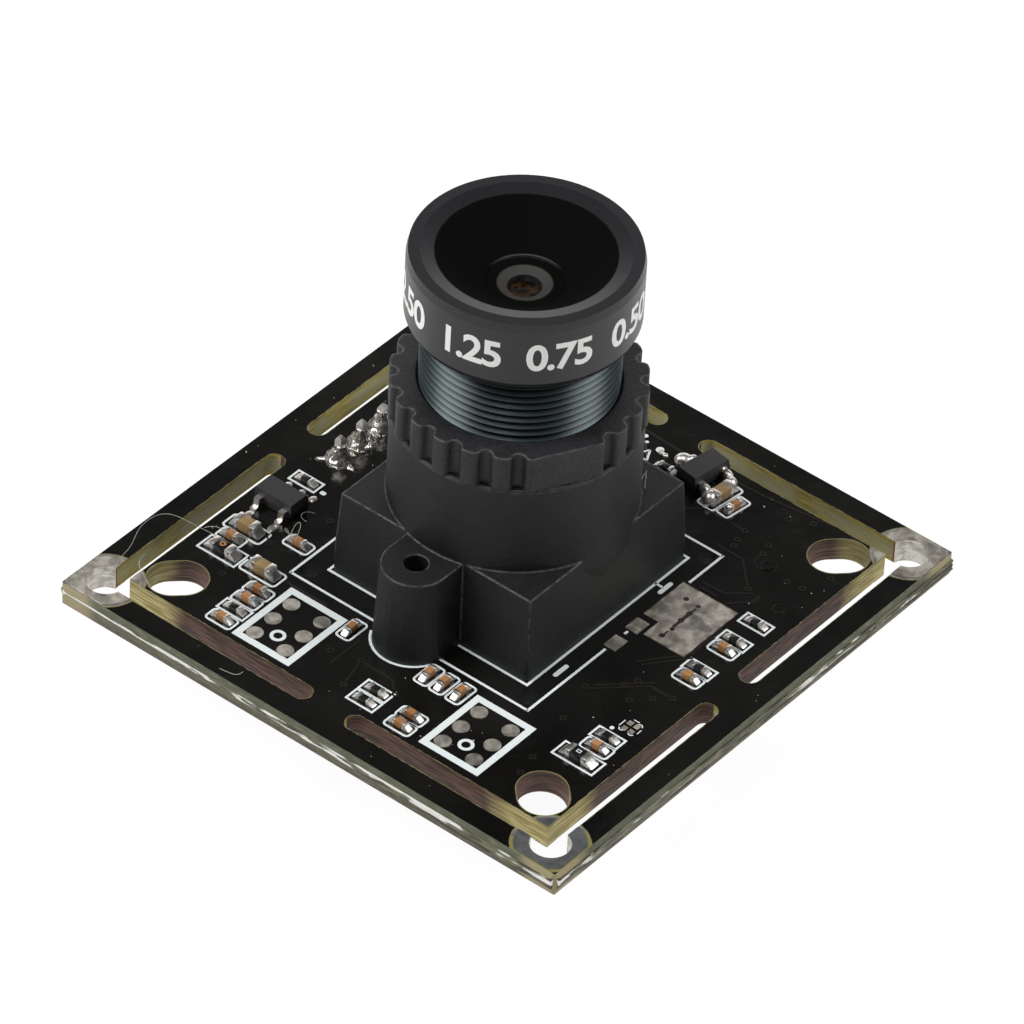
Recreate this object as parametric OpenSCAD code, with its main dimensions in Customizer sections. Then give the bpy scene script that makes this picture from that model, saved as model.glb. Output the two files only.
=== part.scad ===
// Board camera: a square circuit board that carries a small image sensor, with
// a moulded holder screwed over it and a threaded lens that turns in the holder
// to focus and is held by a knurled lock ring.
// Z = 0 is the underside of the board and +Z looks out of the lens. X and Y are
// the board's sides, with the origin at the board's centre.

/* [Board] */
// Width of the board along X
board_w = 38; // [36:0.5:48]
// Depth of the board along Y
board_d = 38; // [36:0.5:48]
// Thickness of the board
board_t = 1.6; // [1:0.1:2.4]
// Radius of the board's corners
board_corner_r = 0.6; // [0.2:0.1:1.5]
// Depth of the V score along each edge, from each face
score_depth = 0.45; // [0.2:0.05:0.6]
// How far the V score leans in from the edge
score_lean = 0.14; // [0.05:0.01:0.3]
// Width of the rail that snaps off, from the board's edge to the slots
rail_w = 1.7; // [1.4:0.1:3]
// Width of the routed slots that free the rail
slot_w = 1.3; // [1:0.1:2]
// Width of the tab left in the middle of each side
tab_w = 2.8; // [2:0.1:5]

/* [Fixing holes] */
// Diameter of the holes in the rail's corners
corner_hole_d = 2.5; // [2:0.1:3]
// Distance from the board's edge to a corner hole
corner_hole_inset = 2; // [1.8:0.1:3]
// Width of the plated ring around a corner hole
ring_w = 0.9; // [0.4:0.1:1.2]
// Width of the oblong holes of the inner board
oblong_w = 3.05; // [2.2:0.05:3.4]
// Length of the oblong holes, along the diagonal
oblong_l = 3.75; // [3.5:0.05:4.2]
// Distance from the inner board's edge to an oblong hole
oblong_inset = 2; // [1.9:0.1:2.6]
// Diameter of the small locating holes around the holder
peg_hole_d = 1.2; // [0.8:0.1:1.6]
// Distance between the locating holes
peg_pitch = 16.8; // [16.2:0.1:18]

/* [Lens holder] */
// Offset of the optical axis from the board's centre, along X and Y
optic_offset = 0.2; // [0:0.1:1]
// Side of the holder's square base
base_w = 15; // [14.6:0.1:16]
// Height of the holder's base above the board
base_h = 6; // [5.5:0.05:8]
// How far each of the base's sides leans in to its top
base_draft = 0.3; // [0.1:0.05:0.5]
// Radius of the base's upright corners
base_corner_r = 0.35; // [0.2:0.1:1]
// Wall of the base around the sensor
base_wall = 1.2; // [0.8:0.1:2]
// Height of the sensor's chamber inside the base
chamber_h = 3.2; // [2.8:0.1:3.6]
// Radius of the holder's tube at its top
tube_r = 7.55; // [7:0.05:8]
// Height of the holder's top rim above the board
tube_top = 12.2; // [11:0.1:14]
// Distance between the two screw ears
ear_pitch = 18; // [17.6:0.1:20]
// Radius of an ear at its foot
ear_r = 2.4; // [2.1:0.05:2.8]
// How much an ear narrows to its top
ear_draft = 0.3; // [0.1:0.05:0.5]
// Height of the ears above the board
ear_h = 5.95; // [5:0.05:7]
// Diameter of the pilot hole that shows in an ear's top
pilot_d = 1.5; // [1.2:0.1:1.8]

/* [Lock ring] */
// Outer radius of the lock ring
lock_r = 7.7; // [7.4:0.05:8.5]
// Height of the lock ring
lock_h = 2.55; // [1.5:0.05:4]
// Grooves in each half of the ring, between its two flats
grooves_per_side = 10; // [6:1:14]
// Width of a groove
groove_w = 0.8; // [0.5:0.05:1.1]
// Depth of a groove
groove_depth = 0.6; // [0.3:0.05:0.8]
// Radius of the rounded edges of the lobes between the grooves
lobe_r = 0.35; // [0.1:0.05:0.4]
// Angle from a flat's middle to the first groove
first_groove = 22.5; // [19:0.5:26]
// Distance from the axis to a flat
flat_r = 7.35; // [7:0.05:7.6]
// Direction in which the first flat faces
flat_angle = -118.5; // [-180:0.5:180]

/* [Lens] */
// Outer radius of the lens thread
thread_r = 5.97; // [5.5:0.01:6.5]
// Pitch of the lens thread
thread_pitch = 0.5; // [0.35:0.05:0.75]
// Depth of the lens thread
thread_depth = 0.28; // [0.15:0.01:0.35]
// Radial clearance of the thread in the holder and the ring
thread_fit = 0.06; // [0.02:0.01:0.1]
// Height of the barrel's back end above the board
barrel_back = 7; // [6:0.1:8]
// Height of the plain neck between the thread and the head
neck_h = 0.6; // [0.4:0.1:2]
// Height of the head's lower edge above the board
head_back = 19.5; // [18.5:0.05:20.5]
// Height of the head's front rim above the board
head_front = 24.23; // [23.5:0.01:26]
// Radius of the head
head_r = 7; // [6.6:0.05:8]
// Height of the chamfer round the head's lower edge
head_chamfer_h = 0.4; // [0.2:0.05:0.8]
// How far that chamfer draws the head in
head_chamfer = 0.2; // [0.1:0.05:0.4]
// Height of the band that leans in at the head's front rim
rim_h = 0.55; // [0.2:0.05:1]
// How far that band leans in
rim_draw = 0.12; // [0.05:0.01:0.3]
// Radius of the opening in the head
opening_r = 5.35; // [5:0.05:5.8]
// Radius of the aperture at the bottom of the opening
aperture_r = 1.03; // [0.8:0.01:1.3]
// Depth of the opening below the rim
opening_depth = 2.5; // [2:0.1:3]
// Radial clearance of the glass elements in the barrel
glass_fit = 0.03; // [0.02:0.01:0.08]

/* [Wire header] */
// Number of pins
pin_count = 4; // [2:1:5]
// Distance between two pins
pin_pitch = 2; // [2:0.1:2.5]
// Width of a square pin
pin_w = 0.5; // [0.4:0.05:0.6]
// How far a pin stands out of the board's top
pin_out = 1.8; // [1:0.1:2.5]
// Height of the header's housing below the board
header_h = 5; // [4:0.1:6]
// Distance from the pins to the inner board's edge
header_inset = 2.15; // [1.9:0.05:3]
// Position of the first pin along X
header_x = 0.75; // [-4:0.05:1]

/* [Small parts] */
// Length, width and height of a small chip
small_chip = [1.0, 0.5, 0.5];
// Length, width and height of a large chip
large_chip = [1.6, 0.8, 0.75];
// How far the solder runs out from a chip's end
solder_foot = 0.22; // [0.1:0.02:0.3]
// Height of a resistor's body
resistor_h = 0.35; // [0.3:0.05:0.5]
// Length, width and height of a regulator's body
regulator = [2.9, 1.6, 1.05];
// Distance between two leads on a regulator's long side
regulator_pitch = 1.9; // [1.8:0.05:2]
// Length and width of the processor's body
processor_w = 7; // [6:0.1:8]
// Leads on each side of the processor
processor_leads_per_side = 12; // [8:1:12]

/* [Hidden] */
$fn = 96;
eps = 0.01;

// Inner board, left when the rail is snapped off
inner_w = board_w - 2 * (rail_w + slot_w);
inner_d = board_d - 2 * (rail_w + slot_w);
ix = inner_w / 2;
iy = inner_d / 2;
slot_mid = slot_w / 2;

// Heights in the board's frame
rim_z = board_t + tube_top;
front_z = board_t + head_front;
head_back_z = board_t + head_back;
thread_top_z = head_back_z - neck_h;
barrel_back_z = board_t + barrel_back;

// Holder's inner steps: the chamber, the filter's pocket and the light window
bore_r = thread_r + thread_fit;
chamber_w = base_w - 2 * base_wall;
chamber_top = board_t + chamber_h;
filter_w = 10;
filter_t = 0.55;
filter_fit = 0.05;
window_r = 4.3;
shelf_t = 1.5;
bore_foot = chamber_top + shelf_t;
// Edges: the tube's rim, where its bulge fades into the base's sides, the base's foot, the mouths of
// the bore and the lock ring, and the thread's start
tube_edge = 0.12;
fade_in = 0.35;
fade_h = 3;
base_foot = 0.2;
rim_sink = 0.35;
lock_sink = 0.1;
lead_in = 0.5;

// Screws that hold the holder, driven in from below
screw_r = 0.95;
screw_fit = 0.05;
screw_hole_r = 1.1;
screw_len = 5.2;
screw_head_r = 1.75;
screw_head_h = 1.2;
screw_round = 0.45;
screw_taper = 0.7;
screw_end = 0.3;
recess_w = 0.5;
recess_l = 2;
recess_h = 0.7;
ears = [-ear_pitch / 2, ear_pitch / 2];

// Glass stack: shoulders in the barrel, from the front to the back
opening_z = front_z - opening_depth;
front_seat_z = opening_z - 0.75;
front_glass_r = 2.4;
stop_z = front_seat_z - 2.2;
middle_glass_r = 3.35;
spacer_z = stop_z - 3.4;
rear_glass_r = 4.25;
stop_t = 0.2;
spacer_t = 1.3;
spacer_bore_r = middle_glass_r - 0.5;
rear_glass_t = 3;
retainer_t = 1.4;

// Wire header
header_y = iy - header_inset;
header_wall = 0.6;
header_side = 1.95;
header_depth = 4.5;
header_behind = 1.7;
header_floor = 1.3;
key_w = 1;
latch_w = 1.2;
pin_hole_r = 0.45;
pin_fit = 0.02;
pins = [for (i = [0 : pin_count - 1]) header_x + i * pin_pitch];

// Chips: share of the length that each metal end takes, and how far its body is drawn in
end_share = 0.25;
body_inset = 0.03;
lead_t = 0.13;

// Places of the parts: x, y and turn. Those near an edge follow the inner board's edges.
front_row = -iy + 1.9;
resistors = [[-ix + 1.15, -1.2, 90], [-ix + 2.25, -1.2, 90], [-ix + 2.15, 9.65, 90],
    [-2.2, iy - 2, 90], [-7.8, front_row + 0.3, 90], [0.45, front_row, 90],
    [3.8, front_row, 90], [5.85, front_row, 90], [ix - 2.75, -1.35, 90]];
small_capacitors = [[-ix + 0.9, -4.15, 90], [-ix + 1.95, -4.15, 90], [-ix + 1, 9.65, 90],
    [-ix + 3.25, 9.65, 90], [-ix + 4.3, 9.65, 90], [-6.9, iy - 5.4, 90], [-9.1, iy - 2, 90],
    [-0.6, front_row, 90], [2.75, front_row, 90], [-8.9, front_row + 0.2, 90],
    [-ix + 5.4, -2.6, 0], [-ix + 5.4, -3.75, 0], [-ix + 5.4, -5, 0], [-ix + 5.4, 3.35, 0],
    [ix - 2.75, -6.66, -7]];
under_capacitors = [[5.9, 3.2, 90], [5.9, 1.4, 90], [5.9, -1.4, 90], [5.9, -3.2, 90],
    [-5.7, 3.2, 90], [-5.7, 1.2, 90]];
large_capacitors = [[-10.2, iy - 5.4, 90], [-7.9, iy - 2.2, 90], [ix - 2.45, -5.42, -6]];
indicators = [[-10.35, iy - 2.4, 90], [-10.3, front_row + 0.45, 90]];
// A regulator has two leads on one side, and on the other as many as its fourth value says
regulators = [[-4.84, iy - 2.24, 90, 3], [ix - 1.81, -3.47, 171.5, 1]];
pad_groups = [[-ix + 3.2, -8.03], [-ix + 3.05, 6.25]];
pad_pitch = [1.67, 2.37];
pad_r = 0.53;
pad_t = 0.04;
// Large ground pad, between the holder's base and the front row of chips, and two small pads
pad_gap = 1.25;
ground_pad_x = 0.65;
ground_pad_w = 5.25;
ground_pad_top = optic_offset - base_w / 2 - pad_gap;
ground_pad_foot = front_row + 1.35;
ground_notch = [1.45, 1.15];
small_pad = [1.2, 0.9];
small_pads = [ground_pad_x - 2.3, ground_pad_x - 0.25];
processor_pitch = 0.5;
memory = [4.9, 3.9, 1.5];
memory_pitch = 1.27;
memory_place = [0.2, -iy + 4.6];
crystal = [3.2, 2.5, 0.8];
crystal_place = [-6.9, -5.3];

// Outline with true round corners
module rounded_square(w, d, r) {
    square([w - 2 * r, d], center = true);
    square([w, d - 2 * r], center = true);
    for (x = [-1, 1], y = [-1, 1])
        translate([x * (w / 2 - r), y * (d / 2 - r)]) circle(r);
}

// Slab whose side walls come to a ridge, as a scored board or a moulded package has
module ridged_slab(w, d, t, ridge_low, ridge_high, lean) {
    profile = function (size) [[-size / 2 + lean, 0], [size / 2 - lean, 0], [size / 2, ridge_low],
        [size / 2, ridge_high], [size / 2 - lean, t], [-size / 2 + lean, t],
        [-size / 2, ridge_high], [-size / 2, ridge_low]];
    intersection() {
        rotate([90, 0, 0]) linear_extrude(d, center = true) polygon(profile(w));
        rotate([90, 0, 90]) linear_extrude(w, center = true) polygon(profile(d));
    }
}

// Straight slot with round ends, from a point along +X
module slot_2d(length, width) {
    translate([0, -width / 2]) square([length, width]);
    for (x = [0, length]) translate([x, 0]) circle(width / 2);
}

// L-shaped routed slots, one round each corner of the inner board
module rail_slots_2d() {
    for (sx = [-1, 1], sy = [-1, 1]) scale([sx, sy]) {
        translate([tab_w / 2 + slot_mid, iy + slot_mid])
            slot_2d(ix - tab_w / 2, slot_w);
        translate([ix + slot_mid, tab_w / 2 + slot_mid]) rotate(90)
            slot_2d(iy - tab_w / 2, slot_w);
    }
}

module corner_holes_2d(r) {
    for (x = [-1, 1], y = [-1, 1])
        translate([x * (board_w / 2 - corner_hole_inset), y * (board_d / 2 - corner_hole_inset)])
            circle(r);
}

// Oblong holes that point at the board's centre
module oblong_holes_2d() {
    reach = (oblong_l - oblong_w) / 2;
    for (x = [-1, 1], y = [-1, 1])
        translate([x * (ix - oblong_inset), y * (iy - oblong_inset)]) rotate(45 * x * y)
            translate([-reach, 0]) slot_2d(2 * reach, oblong_w);
}

module at_optic() {
    translate([optic_offset, optic_offset, 0]) children();
}

module circuit_board() {
    color("#1d1c19") difference() {
        intersection() {
            ridged_slab(board_w, board_d, board_t, score_depth, board_t - score_depth, score_lean);
            linear_extrude(board_t) rounded_square(board_w, board_d, board_corner_r);
        }
        translate([0, 0, -1]) linear_extrude(board_t + 2) {
            rail_slots_2d();
            corner_holes_2d(corner_hole_d / 2);
            oblong_holes_2d();
            translate([optic_offset, optic_offset]) {
                for (x = [-1, 1], y = [-1, 1])
                    translate([x, y] * peg_pitch / 2) circle(peg_hole_d / 2);
                for (x = ears) translate([x, 0]) circle(screw_hole_r);
            }
            for (x = pins) translate([x, header_y]) circle(pin_hole_r);
        }
    }
}

// Tinned rings on both faces, cut where the slots and the board's edge pass
module plated_rings() {
    color("#a7a49b") for (z = [-pad_t, board_t])
        translate([0, 0, z]) linear_extrude(pad_t) difference() {
            intersection() {
                corner_holes_2d(corner_hole_d / 2 + ring_w);
                square([board_w - 2 * score_lean - 0.2, board_d - 2 * score_lean - 0.2],
                    center = true);
            }
            corner_holes_2d(corner_hole_d / 2);
            rail_slots_2d();
        }
}

// Tinned contact pads on the top face: two groups of six and a large ground pad
module solder_pads() {
    color("#b9b6ac") translate([0, 0, board_t]) linear_extrude(pad_t) {
        for (g = pad_groups, c = [-1 : 1], r = [-1, 1])
            translate([g[0] + c * pad_pitch[0], g[1] + r * pad_pitch[1] / 2]) circle(pad_r);
        difference() {
            translate([ground_pad_x, ground_pad_foot])
                square([ground_pad_w, ground_pad_top - ground_pad_foot]);
            translate([ground_pad_x - 1, ground_pad_top - ground_notch[1]])
                square([ground_notch[0] + 1, ground_notch[1] + 1]);
        }
        for (x = small_pads) translate([x, ground_pad_top + pad_t - small_pad[1]])
            square(small_pad);
    }
}

// Moulded holder: square base, drafted tube and two tapered ears, bored for the lens
module lens_holder() {
    foot_z = board_t + base_h;
    color("#2b2b2d") at_optic() difference() {
        union() {
            translate([0, 0, board_t]) intersection() {
                ridged_slab(base_w, base_w, base_h, 0, base_foot, base_draft);
                linear_extrude(base_h) rounded_square(base_w, base_w, base_corner_r);
            }
            rotate_extrude() polygon([[0, foot_z - fade_h], [tube_r - fade_in, foot_z - fade_h],
                [tube_r, foot_z - fade_h / 3], [tube_r, rim_z - tube_edge],
                [tube_r - tube_edge, rim_z], [0, rim_z]]);
            for (side = [-1, 1]) hull() for (x = [ear_pitch / 2, base_w / 2 - 1])
                translate([side * x, 0, board_t])
                    cylinder(h = ear_h, r1 = ear_r, r2 = ear_r - ear_draft, $fn = 32);
        }
        translate([0, 0, board_t - 1]) linear_extrude(chamber_h + 1)
            square(chamber_w, center = true);
        translate([0, 0, chamber_top - eps]) linear_extrude(filter_t + filter_fit + eps)
            square(filter_w + 2 * filter_fit, center = true);
        translate([0, 0, chamber_top]) cylinder(h = shelf_t + 1, r = window_r);
        translate([0, 0, bore_foot]) cylinder(h = rim_z, r = bore_r);
        translate([0, 0, rim_z - rim_sink])
            cylinder(h = rim_sink + eps, r1 = bore_r, r2 = bore_r + rim_sink);
        for (x = ears) translate([x, 0, 0]) {
            cylinder(h = screw_len + screw_end, r = screw_r + screw_fit);
            cylinder(h = board_t + ear_h + 1, r = pilot_d / 2);
        }
    }
}

// Two self-tapping screws with crossed recesses, heads against the board's underside
module holder_screws() {
    color("#8d9097") at_optic() for (x = ears) translate([x, 0, 0]) difference() {
        rotate_extrude() polygon([[0, -screw_head_h],
            [screw_head_r - screw_round, -screw_head_h],
            [screw_head_r - screw_round / 4, -screw_head_h + screw_round * 0.8],
            [screw_head_r, -screw_head_h + recess_h], [screw_head_r, 0], [screw_r, 0],
            [screw_r, screw_len - screw_taper], [screw_end, screw_len], [0, screw_len]]);
        for (turn = [0, 90]) rotate(turn + 20)
            translate([-recess_l / 2, -recess_w / 2, -screw_head_h - eps])
                cube([recess_l, recess_w, recess_h]);
    }
}

// Outline of the lock ring: round-edged lobes between the grooves, and two spanner flats
module lock_outline() {
    step = (180 - 2 * first_groove) / (grooves_per_side - 1);
    offset(r = lobe_r, $fn = 24) offset(delta = -lobe_r) difference() {
        circle(lock_r);
        for (side = [0, 180]) rotate(side) {
            translate([flat_r, -lock_r]) square([lock_r, 2 * lock_r]);
            for (i = [0 : grooves_per_side - 1]) rotate(first_groove + i * step)
                translate([lock_r - groove_depth + groove_w / 2, 0]) {
                    circle(groove_w / 2, $fn = 24);
                    translate([0, -groove_w / 2]) square(groove_w);
                }
        }
    }
}

// Knurled ring that locks the lens against the holder's rim
module lock_ring() {
    color("#2a2a2b") at_optic() translate([0, 0, rim_z]) rotate(flat_angle) difference() {
        linear_extrude(lock_h) lock_outline();
        translate([0, 0, -1]) cylinder(h = lock_h + 2, r = bore_r);
        translate([0, 0, lock_h - lock_sink])
            cylinder(h = lock_sink + eps, r1 = bore_r, r2 = bore_r + lock_sink);
    }
}

// Outer outline of the barrel: back end, ringed thread, neck and head
function barrel_outline() =
    let (turns = floor((thread_top_z - barrel_back_z - lead_in) / thread_pitch),
        neck_r = thread_r - 1.3 * thread_depth)
    concat([[0, barrel_back_z], [thread_r - lead_in, barrel_back_z]],
        [for (i = [0 : turns - 1], step = [0, 1])
            [thread_r - (1 - step) * thread_depth,
                thread_top_z - (turns - i - step / 2) * thread_pitch]],
        [[neck_r, thread_top_z], [neck_r, head_back_z],
            [head_r - head_chamfer, head_back_z], [head_r, head_back_z + head_chamfer_h],
            [head_r, front_z - rim_h], [head_r - rim_draw, front_z], [0, front_z]]);

// Inner outline of the barrel: back bore, shoulders, countersunk aperture and black cone
barrel_bore = [[0, barrel_back_z - 1], [rear_glass_r + glass_fit, barrel_back_z - 1],
    [rear_glass_r + glass_fit, spacer_z], [middle_glass_r + glass_fit, spacer_z],
    [middle_glass_r + glass_fit, stop_z], [front_glass_r + glass_fit, stop_z],
    [front_glass_r + glass_fit, front_seat_z], [aperture_r, front_seat_z],
    [aperture_r, opening_z - 0.25], [aperture_r + 0.6, opening_z], [2.35, opening_z],
    [2.35, opening_z + 0.12], [opening_r, front_z - 0.18], [opening_r + 0.85, front_z],
    [opening_r + 0.85, front_z + 1], [0, front_z + 1]];

module lens_barrel() {
    color("#303338") at_optic() difference() {
        rotate_extrude() polygon(barrel_outline());
        rotate_extrude() polygon(barrel_bore);
    }
}

// Glass element between two heights, with a bulge (+) or a hollow (-) on its front and back
function glass_arc(r, z, bulge) =
    [for (i = [0 : 8]) [r * i / 8, z + bulge * (1 - pow(i / 8, 2))]];
module glass(r, rim, back, front, back_bulge, front_bulge) {
    inner = r - rim;
    at_optic() rotate_extrude() polygon(concat(
        glass_arc(inner, back, -back_bulge), [[r, back], [r, front]],
        [for (i = [8 : -1 : 0]) glass_arc(inner, front, front_bulge)[i]]));
}

module front_lens() {
    color("#7a5a3a", 0.7) glass(front_glass_r, front_glass_r - aperture_r, stop_z + stop_t,
        front_seat_z, -0.3, 0.2);
}

// Thin washer that limits the light, between the front and middle elements
module aperture_stop() {
    color("#111111") at_optic() translate([0, 0, stop_z]) difference() {
        cylinder(h = stop_t, r = front_glass_r);
        translate([0, 0, -1]) cylinder(h = stop_t + 2, r = 0.9);
    }
}

module middle_lens() {
    color("#8aa0a8", 0.6)
        glass(middle_glass_r, 0.5, spacer_z + 0.5, stop_z, 0.35, -0.4);
}

// Blackened spacer between the middle and rear elements
module lens_spacer() {
    color("#1a1a1c") at_optic() translate([0, 0, spacer_z - spacer_t]) difference() {
        union() {
            cylinder(h = spacer_t, r = rear_glass_r);
            cylinder(h = spacer_t + 0.5, r = middle_glass_r);
        }
        translate([0, 0, -1]) cylinder(h = spacer_t + 3, r = spacer_bore_r);
    }
}

module rear_lens() {
    color("#8aa0a8", 0.6)
        glass(rear_glass_r, rear_glass_r - spacer_bore_r, spacer_z - spacer_t - rear_glass_t,
            spacer_z - spacer_t, 0.3, 0.4);
}

// Ring that holds the glass in from the back, with two spanner notches
module rear_retaining_ring() {
    top = spacer_z - spacer_t - rear_glass_t;
    color("#2c2e32") at_optic() translate([0, 0, top - retainer_t]) difference() {
        cylinder(h = retainer_t, r = rear_glass_r);
        translate([0, 0, -1]) cylinder(h = retainer_t + 2, r = rear_glass_r - 0.9);
        translate([-rear_glass_r - 1, -0.4, -1]) cube([2 * rear_glass_r + 2, 0.8, 1.5]);
    }
}

// Coated glass plate in the pocket above the sensor's chamber
module ir_cut_filter() {
    color("#9c6f78", 0.6) at_optic() translate([0, 0, chamber_top + filter_fit])
        linear_extrude(filter_t) square(filter_w, center = true);
}

sensor_w = [9.6, 8.6];
sensor_h = 1.25;
glass_w = [7.6, 6.6];
module image_sensor() {
    color("#3b3a36") at_optic() translate([0, 0, board_t]) difference() {
        linear_extrude(sensor_h) square(sensor_w, center = true);
        translate([0, 0, 0.5]) linear_extrude(sensor_h) square(glass_w - [1.4, 1.4], center = true);
        translate([0, 0, sensor_h - 0.35]) linear_extrude(1) square(glass_w, center = true);
    }
}

module sensor_cover_glass() {
    color("#a9c3c8", 0.5) at_optic() translate([0, 0, board_t + sensor_h - 0.35])
        linear_extrude(0.5) square(glass_w - [0.1, 0.1], center = true);
}

// Places a part on the board's top, or on its underside when under is true
module place(spot, under = false) {
    translate([spot[0], spot[1], under ? 0 : board_t]) mirror([0, 0, under ? 1 : 0])
        rotate(spot[2]) children();
}

module chip_body(size) {
    length = size[0] * (1 - 2 * end_share);
    translate([-length / 2, -size[1] / 2 + body_inset, 0])
        cube([length, size[1] - 2 * body_inset, size[2] - body_inset]);
}

// Metal ends, with the solder that climbs them from the pads
module chip_ends(size) {
    length = size[0] * end_share;
    for (side = [0, 180]) rotate(side) translate([size[0] / 2, 0, 0]) {
        translate([-length, -size[1] / 2, 0]) cube([length, size[1], size[2]]);
        rotate([90, 0, 0]) linear_extrude(size[1] - 2 * body_inset, center = true)
            polygon([[-length / 2, 0], [solder_foot, 0], [solder_foot * 0.4, size[2] * 0.25],
                [solder_foot * 0.1, size[2] * 0.7], [-length / 2, size[2] * 0.7]]);
    }
}

resistor = [small_chip[0], small_chip[1], resistor_h];
indicator = [large_chip[0], large_chip[1], 0.6];

module small_capacitor_bodies() {
    color("#a8703f") {
        for (spot = small_capacitors) place(spot) chip_body(small_chip);
        for (spot = under_capacitors) place(spot, true) chip_body(small_chip);
    }
}

module small_capacitor_ends() {
    color("#c9c8c4") {
        for (spot = small_capacitors) place(spot) chip_ends(small_chip);
        for (spot = under_capacitors) place(spot, true) chip_ends(small_chip);
    }
}

module large_capacitor_bodies() {
    color("#b58f5c") for (spot = large_capacitors) place(spot) chip_body(large_chip);
}

module large_capacitor_ends() {
    color("#c9c8c4") for (spot = large_capacitors) place(spot) chip_ends(large_chip);
}

module resistor_bodies() {
    color("#1b1a1a") for (spot = resistors) place(spot) chip_body(resistor);
}

module resistor_ends() {
    color("#c9c8c4") for (spot = resistors) place(spot) chip_ends(resistor);
}

module indicator_bodies() {
    color("#16161a") for (spot = indicators) place(spot) chip_body(indicator);
}

module indicator_ends() {
    color("#c9c8c4") for (spot = indicators) place(spot) chip_ends(indicator);
}

// Bent lead in side view: foot on the board, riser and shoulder into the body
module gull_lead(width, reach, rise, foot) {
    rotate([90, 0, 0]) linear_extrude(width, center = true)
        polygon([[0, rise], [reach - foot - 0.12, rise], [reach - foot, 0], [reach, 0],
            [reach, lead_t], [reach - foot + 0.1, lead_t],
            [reach - foot - 0.02, rise + lead_t], [0, rise + lead_t]]);
}

module moulded_body(w, d, h, clear) {
    translate([0, 0, clear]) ridged_slab(w, d, h, h * 0.45, h * 0.45 + lead_t, h * 0.07);
}

regulator_clear = 0.07;
regulator_rise = regulator_clear + regulator[2] * 0.45;
module regulator_bodies() {
    color("#2d2b2d") for (spot = regulators) place(spot)
        moulded_body(regulator[0], regulator[1], regulator[2], regulator_clear);
}

// Two leads on one long side and one or three on the other
module regulator_leads() {
    reach = 0.7;
    width = 0.4;
    foot = 0.35;
    color("#c2c2c0") for (spot = regulators) place(spot) {
        for (x = [-1, 1]) translate([x * regulator_pitch / 2, regulator[1] / 2, 0]) rotate(90)
            gull_lead(width, reach, regulator_rise, foot);
        for (x = spot[3] == 1 ? [0] : [-1 : 1])
            translate([x * regulator_pitch / 2, -regulator[1] / 2, 0]) rotate(-90)
                gull_lead(width, reach, regulator_rise, foot);
    }
}

// Square pins through the board, pointed at the top
module header_pins() {
    top = board_t + pin_out;
    color("#b8b6b0") for (x = pins) translate([x, header_y, 0]) intersection() {
        translate([-pin_w / 2, -pin_w / 2, -header_h + 0.7])
            cube([pin_w, pin_w, top + header_h - 0.7]);
        ridge = header_h - 0.7;
        translate([0, 0, -ridge])
            ridged_slab(pin_w, pin_w, top + ridge, 0.15, top + ridge - 0.25, 0.13);
    }
}

// Cones of solder round the pins, hollow-sided and steep at the top
module pin_solder() {
    h = 1.05;
    foot = 0.95;
    neck = pin_w * 0.72;
    color("#cfcecb") for (x = pins) translate([x, header_y, board_t]) difference() {
        rotate_extrude() polygon(concat([[0, 0]],
            [for (i = [0 : 6]) [neck + (foot - neck) * pow(1 - i / 6, 1.7), h * i / 6]], [[0, h]]));
        cube([pin_w + 2 * pin_fit, pin_w + 2 * pin_fit, 4], center = true);
    }
}

// Shrouded housing under the board: mouth facing down, keyed by slots in one long wall
module header_housing() {
    width = (pin_count - 1) * pin_pitch + 2 * header_side;
    color("#e4e0d2") translate([pins[0] - header_side, header_y - header_depth + header_behind,
            -header_h]) difference() {
        cube([width, header_depth, header_h]);
        translate([header_wall, header_wall, -1])
            cube([width - 2 * header_wall, header_depth - 2 * header_wall,
                header_h - header_floor + 1]);
        for (x = [width * 0.2, width * 0.8]) translate([x - key_w / 2, -1, -1])
            cube([key_w, header_wall + 2, header_h - header_floor + 1]);
        for (x = [-1, width - header_wall - 1]) translate([x, (header_depth - latch_w) / 2, -1])
            cube([header_wall + 2, latch_w, header_h - header_floor - latch_w / 2]);
        for (i = [0 : pin_count - 1])
            translate([header_side + i * pin_pitch - pin_w / 2 - pin_fit,
                    header_depth - header_behind - pin_w / 2 - pin_fit, 0])
                cube([pin_w + 2 * pin_fit, pin_w + 2 * pin_fit, header_h + 1]);
    }
}

processor_h = 1.4;
processor_clear = 0.1;
module processor_body() {
    color("#252526") at_optic() mirror([0, 0, 1])
        moulded_body(processor_w, processor_w, processor_h, processor_clear);
}

module processor_leads() {
    rise = processor_clear + processor_h * 0.45;
    span = (processor_leads_per_side - 1) * processor_pitch;
    color("#c2c2c0") at_optic() mirror([0, 0, 1]) for (turn = [0 : 90 : 270]) rotate(turn)
        for (i = [0 : processor_leads_per_side - 1])
            translate([processor_w / 2, -span / 2 + i * processor_pitch, 0])
                gull_lead(0.22, 1, rise, 0.5);
}

module memory_body() {
    color("#232324") place([memory_place[0], memory_place[1], 0], true)
        moulded_body(memory[0], memory[1], memory[2], processor_clear);
}

module memory_leads() {
    rise = processor_clear + memory[2] * 0.45;
    color("#c2c2c0") place([memory_place[0], memory_place[1], 0], true)
        for (side = [90, -90], i = [-1.5 : 1 : 1.5]) rotate(side)
            translate([memory[1] / 2, i * memory_pitch, 0]) gull_lead(0.4, 1.05, rise, 0.5);
}

module crystal_can() {
    color("#b5b5b2") place([crystal_place[0], crystal_place[1], 0], true) {
        linear_extrude(crystal[2] / 2) rounded_square(crystal[0], crystal[1], 0.2);
        translate([0, 0, crystal[2] / 2]) linear_extrude(crystal[2] / 2)
            rounded_square(crystal[0] - 0.3, crystal[1] - 0.3, 0.4);
    }
}

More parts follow.
